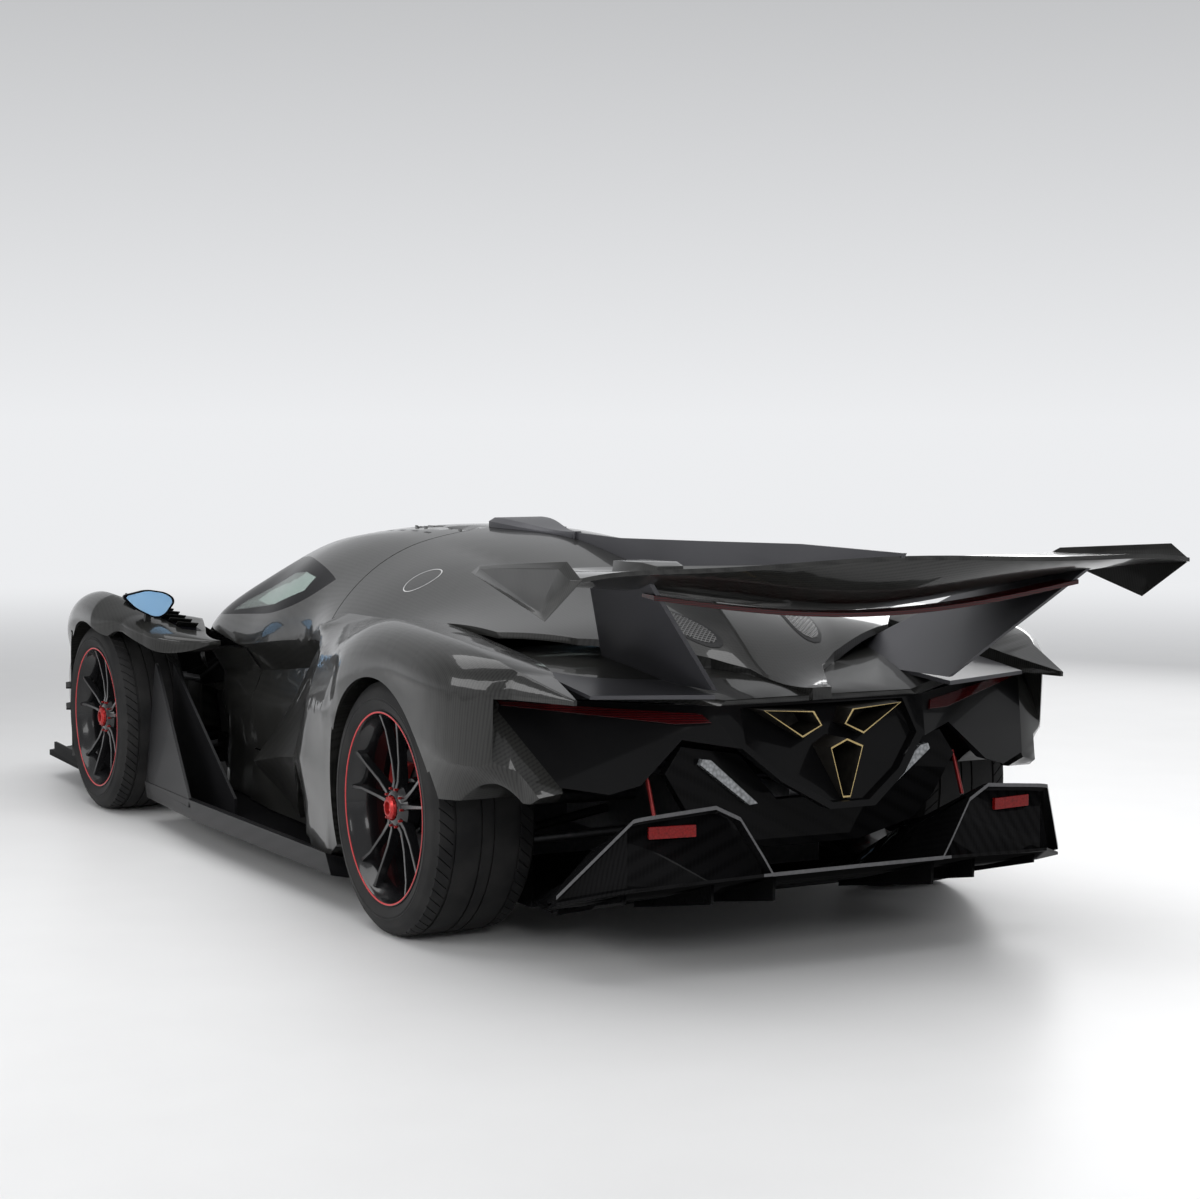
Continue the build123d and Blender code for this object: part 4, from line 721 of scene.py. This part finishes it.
# ---------------------------------------------------------------- diffuser
# Low carbon diffuser with an arched vane on each side, in the darker carbon that is painted shade; its upper
# corners are rounded, and a light grey strip along the rim of the vanes is a painted highlight.
RIDGE_ENDS = (2.06, 2.34)                            # y of the ridges' front and rear
TUNNEL_RIDGES = ((0.380, 0.392), (0.650, 0.664))     # x of the inner and outer ridge at those ends
REAR_EDGE = [(0.0, 2.332), (0.300, 2.326), (0.664, 2.277), (0.831, 2.123)]


def round_vane(bm):
    """Opens the flat faces into whole panels and rounds the vane's upper corners."""
    bmesh.ops.dissolve_limit(bm, angle_limit=math.radians(1.5), verts=bm.verts, edges=bm.edges)
    corners = []
    for edge in bm.edges:
        a, b = (v.co for v in edge.verts)
        middle = (a + b) / 2
        share = (middle.y - RIDGE_ENDS[0]) / (RIDGE_ENDS[1] - RIDGE_ENDS[0])
        near = min(abs(abs(middle.x) - x0 - (x1 - x0) * share) for x0, x1 in TUNNEL_RIDGES)
        if (middle.z > 0.33 and near < 0.016 and abs((a - b).normalized().y) > 0.4 and edge.is_manifold
                and edge.calc_face_angle() > math.radians(20)):
            corners.append(edge)
    bmesh.ops.bevel(bm, geom=corners, offset=0.045, segments=7, affect="EDGES", profile=0.5, material=-1,
                    clamp_overlap=False)


# Light grey on the rearward faces of the vanes' rim: a painted highlight of their edge.
painted_edge_highlight = mottled("painted_edge_highlight", ("Noise", 120.0, 2.0), (0.045, 0.045, 0.048), (0.11, 0.11, 0.115),
                    {"Roughness": 0.3})
diffuser = dressed("diffuser", painted_shade_carbon, "chassis", 0.0015, shape=round_vane)
# Picks the faces on the vanes' rear rim that take the painted highlight.
split_finish(diffuser, painted_edge_highlight, lambda c, n: n.y > 0.5 and c.z > 0.27
             and abs(c.y - along(REAR_EDGE, abs(c.x))) < 0.004)

# ---------------------------------------------------------------- tail
# Black lacquered fascia around a three-way exhaust: thin-walled outlets with a gold-coloured,
# heat-tinted rim and sooty inside.
lacquer = mottled("black_lacquer", ("Noise", 4.0, 4.0), (0.0020, 0.0020, 0.0023), (0.0060, 0.0060, 0.0064),
                  {"Roughness": 0.30, "Specular IOR Level": 0.05, "Coat Weight": 0.20,
                   "Coat Roughness": 0.05}, relief=(("Noise", 55.0, 2.0), 0.02, 0.001))
dressed("tail_fascia", lacquer, "chassis", 0.003)
soot = anodised("sooty_metal", (0.010, 0.009, 0.008), (0.05, 0.045, 0.038), 0.45, 0.7)
gold = anodised("heat_gold", (0.42, 0.30, 0.12), (0.62, 0.50, 0.26), 0.22, 1.0)
star = dressed("exhaust", soot, "chassis", 0.0006)
split_finish(star, gold, lambda c, n: n.y > 0.9 and c.y > 2.19)

# ---------------------------------------------------------------- mirrors
# Carbon pods on short stalks, each with a blue-tinted glass let into its rear face.
dressed("mirrors", gloss_carbon, "chassis", 0.004)
blue_glass = mottled("blue_mirror", ("Noise", 6.0), (0.22, 0.50, 0.90), (0.48, 0.74, 0.98),
                     {"Roughness": 0.06, "Metallic": 0.30})
MIRROR_FACE = -0.967
LEAF = [(0.775, 0.803), (0.812, 0.752), (0.847, 0.745), (0.916, 0.780), (0.960, 0.823), (0.874, 0.841),
        (0.806, 0.829)]
STALK = ((0.866, -1.000, 0.700, 0.020), (0.866, -0.998, 0.735, 0.010), (0.860, -0.990, 0.775, 0.014))
leaf_middle = sum((Vector(p) for p in LEAF), Vector((0, 0))) / len(LEAF)
for side, side_name in ((1, "left"), (-1, "right")):
    for part, grow, start, thick, finish in (("rim", 1.13, -0.012, 0.0125, print_and_shade_black),
                                             ("glass", 1.0, 0.0, 0.0016, blue_glass)):
        bm = bmesh.new()
        verts = []
        for point in LEAF:
            x, z = leaf_middle + (Vector(point) - leaf_middle) * grow
            verts.append(bm.verts.new((side * x, MIRROR_FACE + start, z)))
        bm.faces.new(verts)
        made = bmesh.ops.extrude_face_region(bm, geom=bm.faces[:])
        bmesh.ops.translate(bm, vec=(0, thick, 0),
                            verts=[v for v in made["geom"] if isinstance(v, bmesh.types.BMVert)])
        bmesh.ops.recalc_face_normals(bm, faces=bm.faces)
        through = [e for e in bm.edges if abs(e.verts[0].co.y - e.verts[1].co.y) > 0.001]
        bmesh.ops.bevel(bm, geom=through, offset=0.026, segments=6, affect="EDGES", profile=0.5, material=-1,
                        clamp_overlap=True)
        bmesh.ops.recalc_face_normals(bm, faces=bm.faces)
        piece(f"mirror_{part}_{side_name}", bm, finish, "chassis", smooth=40)
    bm = bmesh.new()
    bar(bm, [[(side * (x - half), y - 0.010, z), (side * (x + half), y - 0.010, z),
              (side * (x + half), y + 0.010, z), (side * (x - half), y + 0.010, z)]
             for x, y, z, half in STALK])
    bmesh.ops.recalc_face_normals(bm, faces=bm.faces)
    piece(f"mirror_stalk_{side_name}", bm, gloss_carbon, "chassis")

# ---------------------------------------------------------------- cabin
# Two carbon bucket shells with stitched leather pads, and a suede-covered dash with a
# steering wheel on its column.
leather = mottled("seat_leather", ("Noise", 24.0, 6.0), (0.012, 0.012, 0.013), (0.040, 0.038, 0.038),
                  {"Roughness": 0.48}, relief=(("Voronoi", 420.0), 0.35, 0.0006))
dressed("seats", satin_carbon, "chassis", 0.006)
PAD_CORNER = 0.38          # how much thinner a pad is at its corners
SEAM = 0.1666              # seams of a pad, from its middle, as a share of its width
for side, side_name in ((1, "left"), (-1, "right")):
    for pad_name, size, spot, lean in (("base", (0.225, 0.325, 0.050), (0.2835, -0.300, 0.262), -6.0),
                                       ("back", (0.235, 0.050, 0.420), (0.2835, -0.052, 0.500), -19.5),
                                       ("headrest", (0.180, 0.045, 0.110), (0.2835, 0.078, 0.775), -19.5)):
        bm = bmesh.new()
        bmesh.ops.create_cube(bm, size=1.0)
        bmesh.ops.subdivide_edges(bm, edges=bm.edges[:], cuts=6, use_grid_fill=True)
        for v in bm.verts:
            thin, long = (2, 1) if pad_name == "base" else (1, 2)
            crown = (1 - (2 * v.co.x) ** 4) * (1 - (2 * v.co[long]) ** 4)
            v.co[thin] *= (1 - PAD_CORNER) + PAD_CORNER * crown
            if abs(abs(v.co.x) - SEAM) < 0.02 and crown > 0.3:
                v.co *= 0.985
        bmesh.ops.scale(bm, vec=size, verts=bm.verts)
        bmesh.ops.rotate(bm, matrix=Matrix.Rotation(math.radians(lean), 3, "X"), cent=(0, 0, 0),
                         verts=bm.verts)
        bmesh.ops.translate(bm, vec=(side * spot[0], spot[1], spot[2]), verts=bm.verts)
        pad = piece(f"seat_{pad_name}_{side_name}", bm, leather, "chassis", smooth=60)
        soft = pad.modifiers.new("soft", "SUBSURF")
        soft.levels = soft.render_levels = 1
suede = mottled("dash_suede", ("Noise", 300.0, 3.0), (0.010, 0.010, 0.011), (0.030, 0.030, 0.032),
                {"Roughness": 0.85, "Sheen Weight": 0.25})
dressed("cockpit", suede, "chassis", 0.004)

# ---------------------------------------------------------------- body trim
# Small fittings let into the panels: wire-mesh outlets on the engine cover, the round fuel
# flap, roof slots, fender louvres and the red stays between tail and diffuser. The black of the
# slots, of the bed under the louvres and between the wires is painted shade.
# Grey wires over near-black gaps: the wires are the mesh's own colour, the black between them is painted
# shade of the outlet behind.
mesh_wire, tree, shader = new_finish("wire_mesh")
place = node(tree, "ShaderNodeTexCoord")
turn = node(tree, "ShaderNodeMapping", {"Vector": place.outputs["Object"],
                                        "Rotation": (0, 0, math.radians(45))})
one = node(tree, "ShaderNodeTexWave", {"Vector": turn.outputs[0], "Scale": 28.0}, bands_direction="X")
two = node(tree, "ShaderNodeTexWave", {"Vector": turn.outputs[0], "Scale": 28.0}, bands_direction="Y")
grid = node(tree, "ShaderNodeMath", {0: one.outputs["Fac"], 1: two.outputs["Fac"]}, operation="MAXIMUM")
coloured(tree, shader, grid.outputs[0], (0.003, 0.003, 0.003), (0.11, 0.11, 0.11), (0.78, 0.90))
embossed(tree, shader, grid.outputs[0], 0.8, 0.002)
shader.inputs["Roughness"].default_value = 0.4
shader.inputs["Metallic"].default_value = 0.6


def surface(*names):
    """A tree of the named panels to lay fittings on."""
    bm = bmesh.new()
    for name in names:
        bm.from_mesh(bpy.data.objects[name + "_panel"].data)
    made = BVHTree.FromBMesh(bm)
    bm.free()
    return made


def lay(bm, on, way, lift):
    """Drops every corner along way onto the surface, then lifts it off by lift."""
    way = Vector(way).normalized()
    for v in bm.verts:
        hit, _, _, _ = on.ray_cast(v.co - way * 0.5, way)
        if hit is not None:
            v.co = hit - way * lift


cover_skin = surface("engine_cover", "rear_deck")
for side, side_name in ((1, "left"), (-1, "right")):
    for part, shrink, lift, finish in (("frame", 1.0, 0.0015, satin_carbon),
                                       ("mesh", 0.86, 0.0024, mesh_wire)):
        bm = bmesh.new()
        bmesh.ops.create_grid(bm, x_segments=14, y_segments=40, size=0.5)
        for v in bm.verts:
            u, w = v.co.x * 2, v.co.y * 2
            pinch = math.sqrt(max(0.0, 1 - abs(w) ** 3.2))
            rearward = w * 0.172 * shrink
            outward = 0.203 - rearward * 0.26 + u * 0.050 * shrink * pinch
            v.co = Vector((side * outward, 1.690 + rearward, 1.3))
        lay(bm, cover_skin, (0, 0, -1), lift)
        bmesh.ops.remove_doubles(bm, verts=bm.verts, dist=1e-5)
        bmesh.ops.recalc_face_normals(bm, faces=bm.faces)
        piece(f"outlet_{part}_{side_name}", bm, finish, "chassis", smooth=60)

flap_line = anodised("flap_ring", (0.50, 0.50, 0.50), (0.68, 0.68, 0.68), 0.30, 0.4)
flap_skin = surface("engine_cover", "rear_fender_left")
bm = bmesh.new()
face_way = Vector((-0.80, -0.10, -0.60)).normalized()
turn = face_way.to_track_quat("Z", "Y").to_matrix().to_4x4()
for reach in (0.0595, 0.0630):
    bmesh.ops.create_circle(bm, cap_ends=False, segments=64, radius=reach,
                            matrix=Matrix.Translation((0.535, 0.700, 0.960)) @ turn)
bmesh.ops.bridge_loops(bm, edges=bm.edges[:])
lay(bm, flap_skin, face_way, 0.0008)
bmesh.ops.recalc_face_normals(bm, faces=bm.faces)
piece("fuel_flap_ring", bm, flap_line, "chassis")

stay_red = anodised("stay_red", (0.13, 0.006, 0.006), (0.22, 0.010, 0.010), 0.30, 0.5)
ROOF_SLOTS = 6
LOUVRES = 8
LOUVRE_START = -1.290      # the louvre bed's front end
BED_LENGTH = 0.390
BED_HALF = 0.060           # half its width in front
STAY_RODS = (((0.500, 2.100, 0.400), (0.500, 2.060, 0.500), 0.006),
             ((0.500, 2.060, 0.500), (0.500, 2.052, 0.520), 0.004))


def louvre_bed(share):
    """Station, middle and half width of the louvre bed; share runs from 0 in front to 1."""
    return LOUVRE_START + BED_LENGTH * share, 0.815 - 0.085 * share, BED_HALF - 0.0225 * share


for side, side_name in ((1, "left"), (-1, "right")):
    roof = surface("door_" + side_name)
    bm = bmesh.new()
    # Flat black patches laid on the roof stand in for the slots: painted shade of their insides.
    for k in range(ROOF_SLOTS):
        made = bmesh.ops.create_grid(bm, x_segments=2, y_segments=6, size=0.5)
        bmesh.ops.scale(bm, vec=(0.012, 0.046, 1), verts=made["verts"])
        bmesh.ops.translate(bm, vec=(side * (0.252 + 0.004 * k), -0.40 + 0.112 * k, 1.4), verts=made["verts"])
    lay(bm, roof, (0, 0, -1), 0.0010)
    bmesh.ops.recalc_face_normals(bm, faces=bm.faces)
    piece(f"roof_slots_{side_name}", bm, print_and_shade_black, "door_" + side_name)

    fender_skin = surface("front_fender_" + side_name)
    # A flat black bed under the louvres stands in for the openings between them: painted shade.
    bm = bmesh.new()
    bmesh.ops.create_grid(bm, x_segments=8, y_segments=20, size=0.5)
    for v in bm.verts:
        y, middle, half = louvre_bed(v.co.y + 0.5)
        v.co = Vector((side * (middle + v.co.x * 2 * half), y, 1.2))
    lay(bm, fender_skin, (0, 0, -1), 0.0012)
    bmesh.ops.recalc_face_normals(bm, faces=bm.faces)
    piece(f"louvre_bed_{side_name}", bm, print_and_shade_black, "chassis", smooth=60)
    bm = bmesh.new()
    for k in range(LOUVRES):
        y, middle, half = louvre_bed((k + 0.7) / (LOUVRES + 0.4))
        rows = []
        for x in (middle - half, middle, middle + half):
            hit, _, _, _ = fender_skin.ray_cast(Vector((side * x, y, 1.2)), Vector((0, 0, -1)))
            z = hit.z if hit is not None else along(BLADE_CREST, y)
            rows.append([(side * x, y - 0.014, z + 0.001), (side * x, y + 0.012, z + 0.016),
                         (side * x, y + 0.012, z + 0.019), (side * x, y - 0.014, z + 0.004)])
        bar(bm, rows)
    bmesh.ops.recalc_face_normals(bm, faces=bm.faces)
    piece(f"fender_louvres_{side_name}", bm, gloss_carbon, "chassis")

    bm = bmesh.new()
    for low, high, thick in STAY_RODS:
        a, b = Vector((side * low[0], low[1], low[2])), Vector((side * high[0], high[1], high[2]))
        made = bmesh.ops.create_cone(bm, cap_ends=True, segments=16, radius1=thick, radius2=thick,
                                     depth=(b - a).length)
        turn = (b - a).to_track_quat("Z", "Y").to_matrix().to_4x4()
        bmesh.ops.transform(bm, matrix=Matrix.Translation((a + b) / 2) @ turn, verts=made["verts"])
    piece(f"diffuser_stay_{side_name}", bm, stay_red, "chassis")
